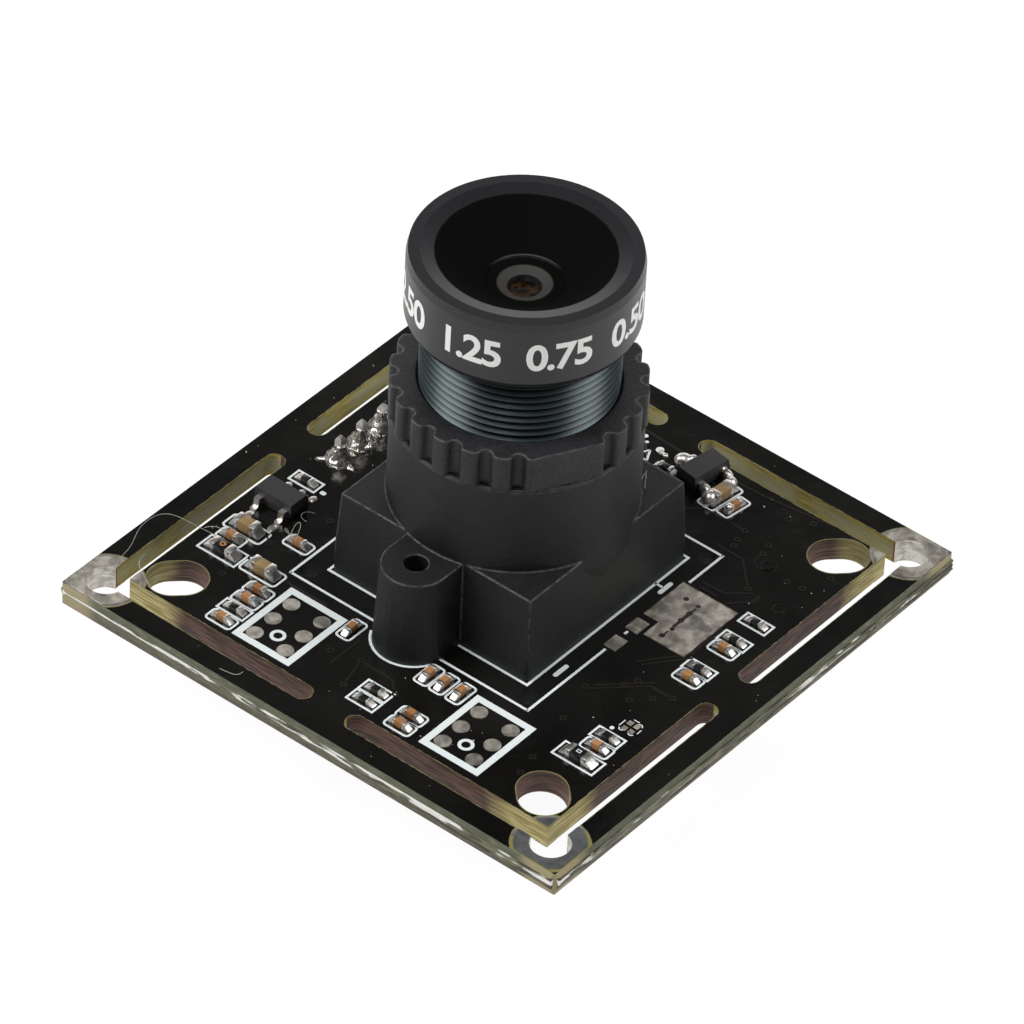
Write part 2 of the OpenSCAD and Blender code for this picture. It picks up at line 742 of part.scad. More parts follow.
circuit_board();
plated_rings();
solder_pads();
lens_holder();
holder_screws();
lock_ring();
lens_barrel();
front_lens();
aperture_stop();
middle_lens();
lens_spacer();
rear_lens();
rear_retaining_ring();
ir_cut_filter();
image_sensor();
sensor_cover_glass();
regulator_bodies();
regulator_leads();
small_capacitor_bodies();
small_capacitor_ends();
large_capacitor_bodies();
large_capacitor_ends();
resistor_bodies();
resistor_ends();
indicator_bodies();
indicator_ends();
header_pins();
header_housing();
pin_solder();
processor_body();
processor_leads();
memory_body();
memory_leads();
crystal_can();
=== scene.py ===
"""Looks of a square board camera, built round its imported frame, in metres.

The sections follow the module's assembly: the studio it lies in, the bare board, its printing and
tinned copper, the small parts, the wire header, the lens holder, and then the ring and the lens.
Lengths in the sections are in millimetres and are multiplied by MM where a mesh is made.
"""

import math
import random

import bmesh
import bpy
from mathutils import Matrix, Vector


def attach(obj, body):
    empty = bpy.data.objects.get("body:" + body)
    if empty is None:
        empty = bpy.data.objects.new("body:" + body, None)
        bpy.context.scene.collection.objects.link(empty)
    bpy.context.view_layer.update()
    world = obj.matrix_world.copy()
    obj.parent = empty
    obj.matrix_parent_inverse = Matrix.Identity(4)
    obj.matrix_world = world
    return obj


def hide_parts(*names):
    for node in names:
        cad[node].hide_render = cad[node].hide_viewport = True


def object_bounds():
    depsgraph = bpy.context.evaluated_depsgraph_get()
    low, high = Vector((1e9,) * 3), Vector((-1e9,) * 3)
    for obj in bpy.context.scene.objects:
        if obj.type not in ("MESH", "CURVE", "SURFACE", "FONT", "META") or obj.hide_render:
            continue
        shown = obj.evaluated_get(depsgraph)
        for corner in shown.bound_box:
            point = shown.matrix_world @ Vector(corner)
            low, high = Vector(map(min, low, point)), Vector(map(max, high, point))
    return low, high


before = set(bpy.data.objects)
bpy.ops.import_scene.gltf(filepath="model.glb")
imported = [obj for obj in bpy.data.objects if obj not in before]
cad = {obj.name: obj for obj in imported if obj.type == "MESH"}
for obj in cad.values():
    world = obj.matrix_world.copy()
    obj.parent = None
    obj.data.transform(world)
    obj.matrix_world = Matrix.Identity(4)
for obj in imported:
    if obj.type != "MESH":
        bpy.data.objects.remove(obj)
cad_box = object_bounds()
bpy.ops.object.select_all(action="DESELECT")
MM = 0.001

# ---------------------------------------------------------------------------------------------
# Studio: the module lies on a white table under broad soft lamps, and is seen from above past
# the side of the lens through a long lens, which keeps the board's edges nearly parallel.

eye = bpy.data.cameras.new("eye")
eye.sensor_width = 36
eye.lens = 307.66
camera = bpy.data.objects.new("camera", eye)
bpy.context.scene.collection.objects.link(camera)
swing, lift, roll = math.radians(-52.80025), math.radians(40.97193), math.radians(3.26449)
distance = 527.25
aim = Vector((5.43427, 4.16412, 0))
back = Vector((math.sin(swing) * math.cos(lift), -math.cos(swing) * math.cos(lift), math.sin(lift)))
right = Vector((math.cos(swing), math.sin(swing), 0))
up = back.cross(right)
rolled_right = right * math.cos(roll) + up * math.sin(roll)
rolled_up = up * math.cos(roll) - right * math.sin(roll)
axes = Matrix((rolled_right, rolled_up, back)).transposed()
camera.matrix_world = Matrix.Translation((aim + back * distance) * MM) @ axes.to_4x4()
bpy.context.scene.camera = camera
bpy.context.scene.view_settings.view_transform = "Standard"


class Wire:
    """One output in a material's nodes. Arithmetic adds Math nodes, and node() adds any other."""

    def __init__(self, tree, socket=None):
        self.tree, self.socket = tree, socket

    def node(self, kind, settings=None, inputs=None, output=0):
        made = self.tree.nodes.new(kind)
        for name, value in (settings or {}).items():
            if name == "stops":
                while len(made.color_ramp.elements) < len(value):
                    made.color_ramp.elements.new(0.5)
                for element, (position, colour) in zip(made.color_ramp.elements, value):
                    element.position, element.color = position, colour
            else:
                setattr(made, name, value)
        for name, value in (inputs or {}).items():
            if isinstance(value, Wire):
                self.tree.links.new(value.socket, made.inputs[name])
            else:
                made.inputs[name].default_value = value
        return Wire(self.tree, made.outputs[output])

    def math(self, operation, first, second=0.0):
        return self.node("ShaderNodeMath", {"operation": operation}, {0: first, 1: second})

    def __add__(self, other):
        return self.math("ADD", self, other)

    def __radd__(self, other):
        return self.math("ADD", other, self)

    def __sub__(self, other):
        return self.math("SUBTRACT", self, other)

    def __rsub__(self, other):
        return self.math("SUBTRACT", other, self)

    def __mul__(self, other):
        return self.math("MULTIPLY", self, other)

    def __rmul__(self, other):
        return self.math("MULTIPLY", other, self)

    def __truediv__(self, other):
        return self.math("DIVIDE", self, other)

    def __pow__(self, other):
        return self.math("POWER", self, other)

    def __abs__(self):
        return self.math("ABSOLUTE", self)

    def least(self, other):
        return self.math("MINIMUM", self, other)

    def most(self, other):
        return self.math("MAXIMUM", self, other)


def paint(code):
    """The linear colour of a #rrggbb code."""
    parts = [int(code[i:i + 2], 16) / 255 for i in (1, 3, 5)]
    return tuple(c / 12.92 if c < 0.04045 else ((c + 0.055) / 1.055) ** 2.4 for c in parts) + (1,)


def new_finish(name):
    """A new material, its main shader and a Wire with the place on the piece in millimetres."""
    finish = bpy.data.materials.new(name)
    finish.use_nodes = True
    place = Wire(finish.node_tree).node("ShaderNodeTexCoord", output="Object")
    place = place.node("ShaderNodeVectorMath", {"operation": "SCALE"}, {0: place, "Scale": 1000.0})
    return finish, finish.node_tree.nodes["Principled BSDF"], place


def feed(shader, **inputs):
    """Sets or links the main shader's inputs: Base_Color, Roughness, Metallic, Normal and so on."""
    for name, value in inputs.items():
        socket = shader.inputs[name.replace("_", " ")]
        if isinstance(value, Wire):
            value.tree.links.new(value.socket, socket)
        else:
            socket.default_value = value


def axis_wires(vector):
    """The x, y and z of a vector, each as a Wire."""
    split = vector.node("ShaderNodeSeparateXYZ", inputs={0: vector})
    outputs = split.socket.node.outputs
    return [Wire(vector.tree, outputs[i]) for i in range(3)]


def grain(place, size, detail=2.0, seed=0.0, stretch=None):
    """Soft noise from 0 to 1 with spots of about that size in millimetres."""
    if stretch:
        place = place.node("ShaderNodeVectorMath", {"operation": "MULTIPLY"}, {0: place, 1: stretch})
    return place.node("ShaderNodeTexNoise", {"noise_dimensions": "4D"},
                      {"Vector": place, "W": seed, "Scale": 1 / size, "Detail": detail})


def ramp(value, low, high):
    """0 below low, 1 above high and a smooth step between them; it falls where low is the larger."""
    return value.node("ShaderNodeMapRange", {"interpolation_type": "SMOOTHSTEP"},
                      {"Value": value, "From Min": low, "From Max": high})


def tint(amount, first, second):
    """The first colour where amount is 0 and the second where it is 1."""
    return amount.node("ShaderNodeMix", {"data_type": "RGBA"}, {0: amount, 6: first, 7: second}, 2)


def relief(height, depth, strength=1.0, under=None):
    """The bent normal of a surface whose height in millimetres is height times depth."""
    inputs = {"Height": height, "Distance": depth * MM, "Strength": strength}
    if under:
        inputs["Normal"] = under
    return height.node("ShaderNodeBump", inputs=inputs)


def cover(shader, amount, other):
    """Mixes another shader over the main one by an amount and leads the mix to the surface."""
    main = Wire(amount.tree, shader.outputs[0])
    mixed = amount.node("ShaderNodeMixShader", inputs={0: amount, 1: main, 2: other})
    amount.tree.links.new(mixed.socket, amount.tree.nodes["Material Output"].inputs["Surface"])


bpy.ops.mesh.primitive_plane_add(size=3, location=(0, 0, cad_box[0][2]))
table = bpy.context.object
table.name = "table"
table_white, shader, place = new_finish("table_white")
feed(shader, Base_Color=paint("#f4f4f4"), Roughness=0.9)
rays = place.node("ShaderNodeLightPath").socket.node.outputs
seen = Wire(place.tree, rays["Is Camera Ray"]).most(Wire(place.tree, rays["Is Glossy Ray"]))
glow = place.node("ShaderNodeEmission", inputs={"Color": (1, 1, 1, 1), "Strength": 1.07})
cover(shader, seen * 0.88, glow)
table.data.materials.append(table_white)

world = bpy.data.worlds.new("studio_air")
bpy.context.scene.world = world
world.use_nodes = True
rays = Wire(world.node_tree).node("ShaderNodeLightPath").socket.node.outputs
seen = Wire(world.node_tree, rays["Is Camera Ray"])
background = world.node_tree.nodes["Background"].inputs
background["Color"].default_value = (1, 1, 1, 1)
world.node_tree.links.new((0.1 + seen * 0.9).socket, background["Strength"])


def softbox(name, power, width, height, spot, towards=(0, 0, 8)):
    """A lamp of a size at a spot in millimetres, turned to face another spot and unseen by the camera."""
    lamp = bpy.data.lights.new(name, "AREA")
    lamp.shape = "RECTANGLE"
    lamp.energy, lamp.size, lamp.size_y = power, width * MM, height * MM
    holder = bpy.data.objects.new(name, lamp)
    bpy.context.scene.collection.objects.link(holder)
    holder.location = Vector(spot) * MM
    holder.rotation_euler = (Vector(towards) - Vector(spot)).to_track_quat("-Z", "Y").to_euler()
    holder.visible_camera = False


softbox("lamp_left", 2.0, 300, 300, (-330, 330, 380))
softbox("lamp_front_right", 1.3, 260, 260, (230, -380, 330))
softbox("lamp_overhead", 1.3, 300, 300, (-150, 0, 560))
softbox("lamp_low_behind", 1.0, 900, 200, (430, 330, 165))

# ---------------------------------------------------------------------------------------------
# Circuit board: glass-fibre laminate under glossy black solder mask. The rail's outer edges were
# scored in a V and snapped, and the slots were routed, so all edges show bare fibres.

laminate, shader, place = new_finish("laminate_and_mask")
x, y, z = axis_wires(place)
face_up = abs(axis_wires(place.node("ShaderNodeNewGeometry", output="Normal"))[2])
ax, ay = abs(x), abs(y)
slot_start, slot_end, slot_line, slot_half_width = 2.05, 16.65, 16.65, 0.65
mask_edge = 18.89


def slot_distance(along, across):
    """Distance from the middle line of the slot that runs along one edge of the board."""
    beyond = (slot_start - along).most(along - slot_end).most(0.0)
    aside = across - slot_line
    return (beyond * beyond + aside * aside) ** 0.5


def hole_distance(u, v, at, radius, reach_out=0.0):
    """Distance from the wall of a hole at (at, at) in one quarter, drawn out along the diagonal."""
    du, dv = u - at, v - at
    if reach_out:
        diagonal = 0.70711
        slide = ((du + dv) * diagonal).most(-reach_out).least(reach_out) * diagonal
        du, dv = du - slide, dv - slide
    return (du * du + dv * dv) ** 0.5 - radius


slot_gap = slot_distance(ax, ay).least(slot_distance(ay, ax)) - slot_half_width
oblong_gap = hole_distance(ax, ay, 14, 1.525, 0.35)
ring_gap = hole_distance(ax, ay, 17, 1.25)
far = ax.most(ay)
gap = slot_gap.least(oblong_gap - 0.04).least(mask_edge - far).least(ring_gap - 1.13)
ragged = grain(place, 0.25, 3, 1.0) * 0.08 - 0.04
level_face = ramp(face_up, 0.55, 0.8)
masked = ramp(gap + ragged, 0.01, 0.04) * level_face

outer = ramp(far, 18.7, 18.76)
rail = ramp(far, 16.6, 16.75)
streak = grain(place, 0.55, 5, 2.0, (0.35, 0.35, 5.0))
blotch = grain(place, 2.6, 2, 3.0)
middle = ramp(abs(z - 0.8), 0.7, 0.35)
inner_wall = tint(ramp(streak, 0.35, 0.7), paint("#2e1d17"), paint("#77554a"))
# Painted light: towards the board's corners the inner slot walls are painted a pale yellow, as light
# glowing through the laminate.
lit_corner_ends = ramp(ax + ay + blotch * 2.0, 28.4, 30.6)
lit_wall = tint(ramp(streak, 0.3, 0.7), paint("#8f7f42"), paint("#d9cd96"))
inner_wall = tint(lit_corner_ends, inner_wall, lit_wall)
rail_wall = tint(ramp(streak, 0.3, 0.7), paint("#80752b"), paint("#bfb05a"))
rail_wall = tint(middle * ramp(blotch, 0.3, 0.6) * 0.8, rail_wall, paint("#aaab8a"))
wall = tint(rail, inner_wall, rail_wall)
plating = ramp(ring_gap, 0.04, 0.02)
wall = tint(ramp(ring_gap, 0.16, 0.12), wall, paint("#8e4530"))
upper = ramp(z, 1.12, 1.18)
tip = ramp(ax + ay + blotch, 35.2, 36.6)
score = tint(upper, tint(ramp(z, 0.42, 0.5), paint("#4c3e2e"), paint("#5d5b48")), paint("#555a46"))
score = tint(ramp(grain(place, 0.5, 5, 5.0, (0.5, 0.5, 3.0)), 0.42, 0.7) * 0.6, score, paint("#7d8068"))
score = tint(tip * 0.85, score, paint("#a89b78"))
bare = tint(outer, wall, score)
bare = tint(level_face, bare, paint("#7d7647"))
bare = tint(ramp(far, 12.2, 12.0), bare, paint("#100e0c"))
coat = tint(ramp(grain(place, 5.0, 3, 6.0), 0.3, 0.75), paint("#0b0a09"), paint("#151411"))
# The pale line along the slots' rims is partly frayed mask and partly a painted highlight on the rough
# edge.
frayed_and_glinting_rim = ramp(slot_gap, 0.07, 0.03) * ramp(grain(place, 0.5, 4, 7.0), 0.5, 0.6)
coat = tint(frayed_and_glinting_rim * 0.8, coat, paint("#9a9789"))
colour = tint(masked, bare, coat)

# The tin of the corner contacts runs out to the board's tips, save at the front one, and down the
# walls of the corner holes, where it is coloured a clean bright silver.

tipped = ramp(ring_gap, 1.1, 1.07).most(ramp(ax, 16.95, 17.0) * ramp(ay, 16.95, 17.0))
tipped = tipped * level_face * ramp(x + y, -33.0, -32.9)
lined = tipped.most(plating * (1 - level_face))
silver = tint(ramp(grain(place, 0.5, 4, 8.0), 0.35, 0.65), paint("#a9a59b"), paint("#d8d5cd"))
peel = relief(grain(place, 0.5, 3, 9.0), 0.008, 0.4)
fibres = relief(streak, 0.09, 0.8, peel)
feed(shader, Base_Color=tint(lined, colour, silver), Normal=fibres, Metallic=lined * 0.85,
     Roughness=0.6 - masked * 0.46 - lined * 0.28 + ramp(grain(place, 1.8, 4, 10.0), 0.3, 0.8) * 0.08)


def dress(finish, *names):
    """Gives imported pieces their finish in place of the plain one."""
    for name in names:
        cad[name].data.materials.clear()
        cad[name].data.materials.append(finish)


dress(laminate, "circuit_board")

# Broken web of the V score: the middle of each outer edge is torn glass fibre, pale and rough,
# proud of the smooth slopes that the scoring wheel left above and below it.

torn, shader, place = new_finish("torn_fibre")
x, z = axis_wires(place)[::2]
shreds = grain(place, 0.7, 6, 11.0, (0.45, 0.45, 2.6))
tear = tint(ramp(shreds, 0.42, 0.62), paint("#38331f"), paint("#77735a"))
# The near-white streaks along the top of the torn web are split fibre and painted highlight together, laid
# more thickly on the left-front edge, where the light catches it.
left_front = ramp(x, -18.6, -18.7)
split = grain(place, 1.4, 5, 12.0, (0.5, 0.5, 3.0)) + left_front * 0.09
split = ramp(split, 0.54, 0.6) * ramp(z + shreds * 0.4, 0.9, 1.0)
feed(shader, Base_Color=tint(split, tear, paint("#f2f1ea")), Roughness=0.45 - split * 0.2,
     Normal=relief(shreds, 0.2, 0.9))

clouds = bpy.data.textures.new("torn_clouds", "CLOUDS")
clouds.noise_scale = 0.5 * MM
clouds.noise_depth = 4
web_out, web_level = 18.965, 0.82
web_thick, web_long, web_high = 0.14, 37.4, 0.66


def cut_edges(piece, axis, shortest, cuts):
    """Cuts the edges of a piece in edit mode that run along an axis for more than a length."""
    shape = bmesh.from_edit_mesh(piece.data)
    for edge in shape.edges:
        edge.select = abs(edge.verts[0].co[axis] - edge.verts[1].co[axis]) > shortest * MM
    shape.select_flush_mode()
    bmesh.update_edit_mesh(piece.data)
    bpy.ops.mesh.subdivide(number_cuts=cuts)


def joined(name, pieces):
    """One object out of several, with the name given to it and to its mesh."""
    bpy.ops.object.select_all(action="DESELECT")
    for piece in pieces:
        piece.select_set(True)
    bpy.context.view_layer.objects.active = pieces[0]
    bpy.ops.object.join()
    whole = bpy.context.object
    whole.name = whole.data.name = name
    bpy.ops.object.select_all(action="DESELECT")
    return whole


webs = []
for turn in range(4):
    bpy.ops.mesh.primitive_cube_add(size=1, location=(web_out * MM, 0, web_level * MM))
    web = bpy.context.object
    web.scale = (web_thick * MM, web_long * MM, web_high * MM)
    bpy.ops.object.transform_apply()
    bpy.ops.object.mode_set(mode="EDIT")
    cut_edges(web, 1, web_long / 2, 420)
    cut_edges(web, 2, web_high / 2, 5)
    bpy.ops.object.mode_set(mode="OBJECT")
    web.data.transform(Matrix.Rotation(turn * math.pi / 2, 4, "Z"))
    rough = web.modifiers.new("tear", "DISPLACE")
    rough.texture, rough.strength, rough.mid_level = clouds, 0.55 * MM, 0.5
    bpy.ops.object.modifier_apply(modifier="tear")
    webs.append(web)
torn_edges = joined("torn_edges", webs)
torn_edges.data.materials.append(torn)
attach(torn_edges, "root")

# ---------------------------------------------------------------------------------------------
# Printing: white ink outlines round the holder, the contact groups and the chips, a minus sign
# and small marks, screened on the mask as a film with a slightly uneven edge.

BOARD_TOP = 1.6


def finish_print(thickness=0.02):
    """Puts a printed plane's place in its mesh and gives the ink its thickness."""
    bpy.ops.object.transform_apply()
    ink = bpy.context.object
    film = ink.modifiers.new("film", "SOLIDIFY")
    film.thickness, film.offset = thickness * MM, 1
    bpy.ops.object.modifier_apply(modifier="film")
    return ink


def print_plane(middle_x, middle_y, level, long, wide, turn, rounding):
    """A plane of ink, left in edit mode, with its corners rounded."""
    bpy.ops.mesh.primitive_plane_add(size=1, location=(middle_x * MM, middle_y * MM, level * MM),
                                     rotation=(0, 0, turn))
    bpy.context.object.scale = (long * MM, wide * MM, 1)
    bpy.ops.object.transform_apply(location=False, rotation=False, scale=True)
    bpy.ops.object.mode_set(mode="EDIT")
    bpy.ops.mesh.select_all(action="SELECT")
    if rounding:
        bpy.ops.mesh.bevel(offset=rounding * MM, segments=4, affect="VERTICES")
        bpy.ops.mesh.select_all(action="SELECT")


def print_frame(left, front, right_side, rear, line, rounding=0.0, turn=0.0, level=BOARD_TOP):
    """A closed outline: a plane that is inset by the line's width and opened."""
    print_plane((left + right_side) / 2, (front + rear) / 2, level, right_side - left, rear - front,
                math.radians(turn), rounding)
    bpy.ops.mesh.inset(thickness=line * MM)
    bpy.ops.mesh.delete(type="FACE")
    bpy.ops.object.mode_set(mode="OBJECT")
    return finish_print()


def print_bar(x0, y0, x1, y1, line, rounding=0.0, level=BOARD_TOP):
    """A straight line of ink from one point to another."""
    run = Vector((x1 - x0, y1 - y0))
    print_plane((x0 + x1) / 2, (y0 + y1) / 2, level, run.length, line, math.atan2(run.y, run.x), rounding)
    bpy.ops.object.mode_set(mode="OBJECT")
    return finish_print()


def print_ring(x, y, outer_r, inner_r, first=0, last=360, level=BOARD_TOP):
    """A ring or an arc of ink: an edge between its two radii, spun about its middle."""
    bpy.ops.mesh.primitive_plane_add(size=1, location=(0, 0, 0))
    ring = bpy.context.object
    bpy.ops.object.mode_set(mode="EDIT")
    shape = bmesh.from_edit_mesh(ring.data)
    bmesh.ops.delete(shape, geom=shape.verts[:], context="VERTS")
    start = math.radians(first)
    ends = [(r * math.cos(start) * MM, r * math.sin(start) * MM, 0) for r in (inner_r, outer_r)]
    shape.edges.new([shape.verts.new(end) for end in ends])
    bmesh.update_edit_mesh(ring.data)
    bpy.ops.mesh.select_all(action="SELECT")
    steps = max(8, int(abs(last - first) / 9))
    bpy.ops.mesh.spin(steps=steps, angle=math.radians(first - last), center=(0, 0, 0), axis=(0, 0, 1))
    bpy.ops.mesh.select_all(action="SELECT")
    bpy.ops.mesh.remove_doubles(threshold=0.001 * MM)
    bpy.ops.mesh.normals_make_consistent(inside=False)
    bpy.ops.object.mode_set(mode="OBJECT")
    if ring.data.polygons[0].normal.z < 0:
        ring.data.flip_normals()
    ring.location = (x * MM, y * MM, level * MM)
    return finish_print()


line, bold = 0.17, 0.3
prints = [
    # the holder's outline, and an arc round each of its ears
    print_bar(-9.1, -8.85, -9.1, 9.35, line), print_bar(9.3, -8.85, 9.3, 9.35, line),
    print_bar(-9.18, 9.35, 9.38, 9.35, line), print_bar(-9.18, -8.85, -1.85, -8.85, line),
    print_bar(6.1, -8.85, 9.38, -8.85, line), print_bar(-0.05, -8.85, 0.25, -8.85, line),
    print_frame(-7.5, -7.5, 7.9, 7.9, line),
    print_ring(-8.8, 0.2, 2.58, 2.42, 115, 245), print_ring(9.2, 0.2, 2.58, 2.42, -65, 65),
    # signs at the holder's front
    print_bar(-5.75, -8.1, -4.45, -8.1, bold, 0.14),
    print_bar(4.7, -7.3, 4.7, -8.0, line), print_bar(4.1, -8.1, 5.4, -8.1, bold, 0.14),
]
for outline, mark in (((-15.45, -10.25, -10.0, -5.8), (-13.8, -8.05)),
                      ((-15.55, 4.05, -10.1, 8.45), (-13.9, 6.25))):
    prints += [print_frame(*outline, 0.45), print_ring(*mark, 0.5, 0.28)]

thin_line = 0.14
chip_outlines = (
    # half length, half width, rounding, then middles and turns of small capacitors' outlines
    (1.0, 0.58, 0.3, ((-15.1, -4.15, 90), (-14.05, -4.15, 90), (-15.0, 9.65, 90), (-12.75, 9.65, 90),
                      (-11.7, 9.65, 90), (-6.9, 10.6, 90), (-9.1, 14.0, 90), (-0.6, -14.1, 90),
                      (2.75, -14.1, 90))),
    (1.05, 0.6, 0.3, ((-8.9, -13.9, 90),)),
    (1.0, 0.58, 0.3, ((-10.6, -2.6, 0), (-10.6, -3.75, 0), (-10.6, -5.0, 0), (-10.6, 3.35, 0))),
    (1.1, 0.55, 0.25, ((13.25, -6.56, -7),)),
    # large capacitor beside the regulator
    (1.45, 0.72, 0.3, ((13.5, -5.35, -6),)),
    # resistors, with square corners
    (1.05, 0.56, 0, ((-14.85, -1.2, 90), (-13.75, -1.2, 90), (-13.85, 9.65, 90), (-2.2, 14.0, 90),
                     (-7.8, -13.8, 90), (0.45, -14.1, 90), (3.8, -14.1, 90), (5.85, -14.1, 90))),
    # the other large capacitors and the indicators
    (1.45, 0.72, 0.3, ((-10.2, 10.6, 90),)),
    (1.5, 0.72, 0.3, ((-7.9, 13.8, 90),)),
    (1.5, 0.75, 0, ((-10.35, 13.6, 90),)),
    (1.55, 0.72, 0, ((-10.3, -13.65, 90),)),
)
for half_long, half_wide, rounding, spots in chip_outlines:
    for cx, cy, turn in spots:
        corners = (cx - half_long, cy - half_wide, cx + half_long, cy + half_wide)
        prints.append(print_frame(*corners, thin_line, rounding, turn))
prints += [
    # a triangle with spots beside it, then small marks
    print_bar(13.1, 0.0, 13.1, 0.95, thin_line), print_bar(13.1, 0.0, 14.0, 0.45, thin_line),
    print_bar(13.1, 0.95, 14.0, 0.45, thin_line), print_ring(14.42, 0.02, 0.26, 0.01),
    print_ring(14.86, 1.47, 0.16, 0.01), print_ring(14.47, 1.07, 0.12, 0.01),
    print_ring(-6.95, -13.45, 0.14, 0.01), print_bar(-2.35, 12.75, -2.35, 12.35, bold, 0.1),
    # round the bare footprint
    print_ring(-6.6, -14.6, 0.2, 0.14, 60, 260), print_ring(-5.8, -14.6, 0.2, 0.14, -90, 70),
    print_ring(-6.6, -13.9, 0.2, 0.14, 90, 250), print_bar(-6.5, -13.62, -5.9, -13.62, 0.06),
    print_bar(-5.55, -14.4, -5.55, -14.0, 0.06), print_bar(-6.4, -14.88, -6.0, -14.88, 0.06),
]
printing = joined("printing", prints)
ink, shader, place = new_finish("white_ink")
worn = ramp(grain(place, 0.22, 4, 20.0), 0.62, 0.74)
feed(shader, Base_Color=tint(worn * 0.35, paint("#e6eded"), paint("#8b9190")), Roughness=0.5,
     Normal=relief(grain(place, 0.12, 2, 21.0), 0.01, 0.4))
printing.data.materials.append(ink)
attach(printing, "root")

# ---------------------------------------------------------------------------------------------
# Tinned copper: mottled grey rings round the corner holes, two groups of six contact pads, and a
# ground pad whose browned tin is pierced by a row of dark vias.

tin, shader, place = new_finish("mottled_tin")
x, y = axis_wires(place)[:2]
mottle = grain(place, 0.6, 5, 30.0)
fine = grain(place, 0.12, 3, 31.0)
pad_edge = (2.62 - abs(x - 3.275)).least(2.1 - abs(y + 10.65))
browned = ramp(pad_edge + mottle * 0.3, 0.24, 0.16) * ramp(pad_edge, -0.03, 0.0)
stained = ramp(grain(place, 1.5, 5, 29.0), 0.54, 0.62)
# Painted reflection: the tin at the board's front corner is painted a darker blue-grey.
front_tip_dark_reflection = ramp(x + y, -30.0, -31.0)
tin_colour = tint(ramp(mottle, 0.35, 0.65), paint("#a69f93"), paint("#d6cfc3"))
tin_colour = tint(ramp(fine, 0.6, 0.7) * 0.5, tin_colour, paint("#6a655e"))
tin_colour = tint(stained * 0.6, tin_colour, paint("#62625e"))
tin_colour = tint(front_tip_dark_reflection * 0.8, tin_colour, paint("#5b626a"))
tin_colour = tint(browned * 0.85, tin_colour, paint("#4a2a20"))
feed(shader, Base_Color=tin_colour, Metallic=0.7 - browned * 0.5, Roughness=0.32 + mottle * 0.25,
     Normal=relief(fine, 0.012, 0.6, relief(mottle, 0.06, 0.7)))
dress(tin, "plated_rings", "solder_pads")

pits = []
pad_top = 1.641
for px, py, wide in ((1.3, -10.6, 0.19), (2.15, -10.7, 0.16), (3.1, -10.6, 0.2), (3.9, -10.6, 0.2),
                     (4.75, -10.6, 0.16), (4.8, -9.65, 0.18)):
    bpy.ops.mesh.primitive_circle_add(vertices=16, radius=wide * MM, fill_type="NGON",
                                      location=(px * MM, py * MM, pad_top * MM))
    pits.append(finish_print(0.006))
for x0, x1, wide in ((1.3, 1.85, 0.1), (2.3, 3.1, 0.2), (3.1, 3.9, 0.24), (3.95, 4.5, 0.12)):
    pits.append(print_bar(x0, -10.62, x1, -10.63, wide, 0.04, pad_top))
vias = joined("ground_vias", pits)
burnt, shader, place = new_finish("burnt_flux")
char = ramp(grain(place, 0.15, 3, 32.0), 0.4, 0.7)
feed(shader, Base_Color=tint(char, paint("#160d0b"), paint("#3d241d")), Roughness=0.5,
     Normal=relief(grain(place, 0.1, 2, 33.0), 0.03, 0.8))
vias.data.materials.append(burnt)
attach(vias, "root")

# Tracks and tented vias: copper under the mask stands a little proud and catches the light; their
# mask is painted paler, partly for the copper beneath and partly as painted glints on the via rings.

runs = (
    ((15.33, 1.87), (15.15, -1.5)), ((15.2, -5.0), (15.3, -7.4), (15.93, -12.5)),
    ((6.68, -9.37), (6.73, -10.98), (7.9, -12.27)), ((6.25, -9.48), (6.23, -10.82)),
    ((6.07, -11.61), (7.22, -12.69), (7.98, -12.76)), ((9.9, -3.2), (12.0, -5.3), (12.0, -8.2)),
    ((8.2, -11.6), (9.9, -9.9), (9.9, -8.0)), ((-12.3, 0.9), (-12.3, -1.2), (-13.0, -1.9)),
    ((-9.9, 5.8), (-9.9, 9.0)), ((-5.2, -10.3), (-2.6, -12.9), (-2.6, -14.2)),
    ((-4.8, -10.3), (-2.2, -12.9)), ((-1.5, -10.9), (1.2, -12.9), (4.2, -12.9)),
    ((-1.5, -11.3), (1.0, -13.2)), ((-14.3, 0.7), (-12.6, 1.1)),
    ((6.9, 12.4), (9.6, 12.4), (11.1, 10.9)), ((-13.6, 2.4), (-11.0, 2.4)),
)
mask_tracks = [print_bar(*start, *stop, 0.16, 0.03) for run in runs for start, stop in zip(run, run[1:])]
for vx, vy in ((-12.3, 1.2), (-9.7, 11.9), (-13.2, -2.2), (8.0, -11.8), (12.0, -8.4), (-2.6, -14.5),
               (-5.2, -10.0), (11.4, 10.6), (-11.9, 12.3), (-4.0, 10.6), (-5.6, 11.9), (-12.0, -11.6),
               (-13.5, -11.9), (-8.2, -10.8), (-3.6, -11.6), (11.9, -3.9), (12.6, 3.2), (13.4, 5.6),
               (11.2, 5.0), (-8.0, 12.0), (-12.8, 3.1), (-14.6, 0.6), (10.2, -14.2), (15.3, -11.1),
               (14.6, -9.73), (11.1, -8.6), (10.5, -8.75), (11.9, -10.3), (11.1, -10.5),
               (10.05, -13.15), (12.05, -14.9), (-4.4, -12.7), (-3.4, -13.65), (-2.75, -12.0)):
    mask_tracks.append(print_ring(vx, vy, 0.24, 0.1, level=BOARD_TOP + 0.006))
for vx, vy, wide in ((7.83, -14.26, 0.42), (10.44, -11.38, 0.5), (10.6, -11.16, 0.75), (-7.4, 12.1, 0.45)):
    mask_tracks.append(print_ring(vx, vy, wide, wide - 0.1, 20, 300, level=BOARD_TOP + 0.003))
tracks = joined("tracks_under_mask", mask_tracks)
mask, shader, place = new_finish("mask_over_copper")
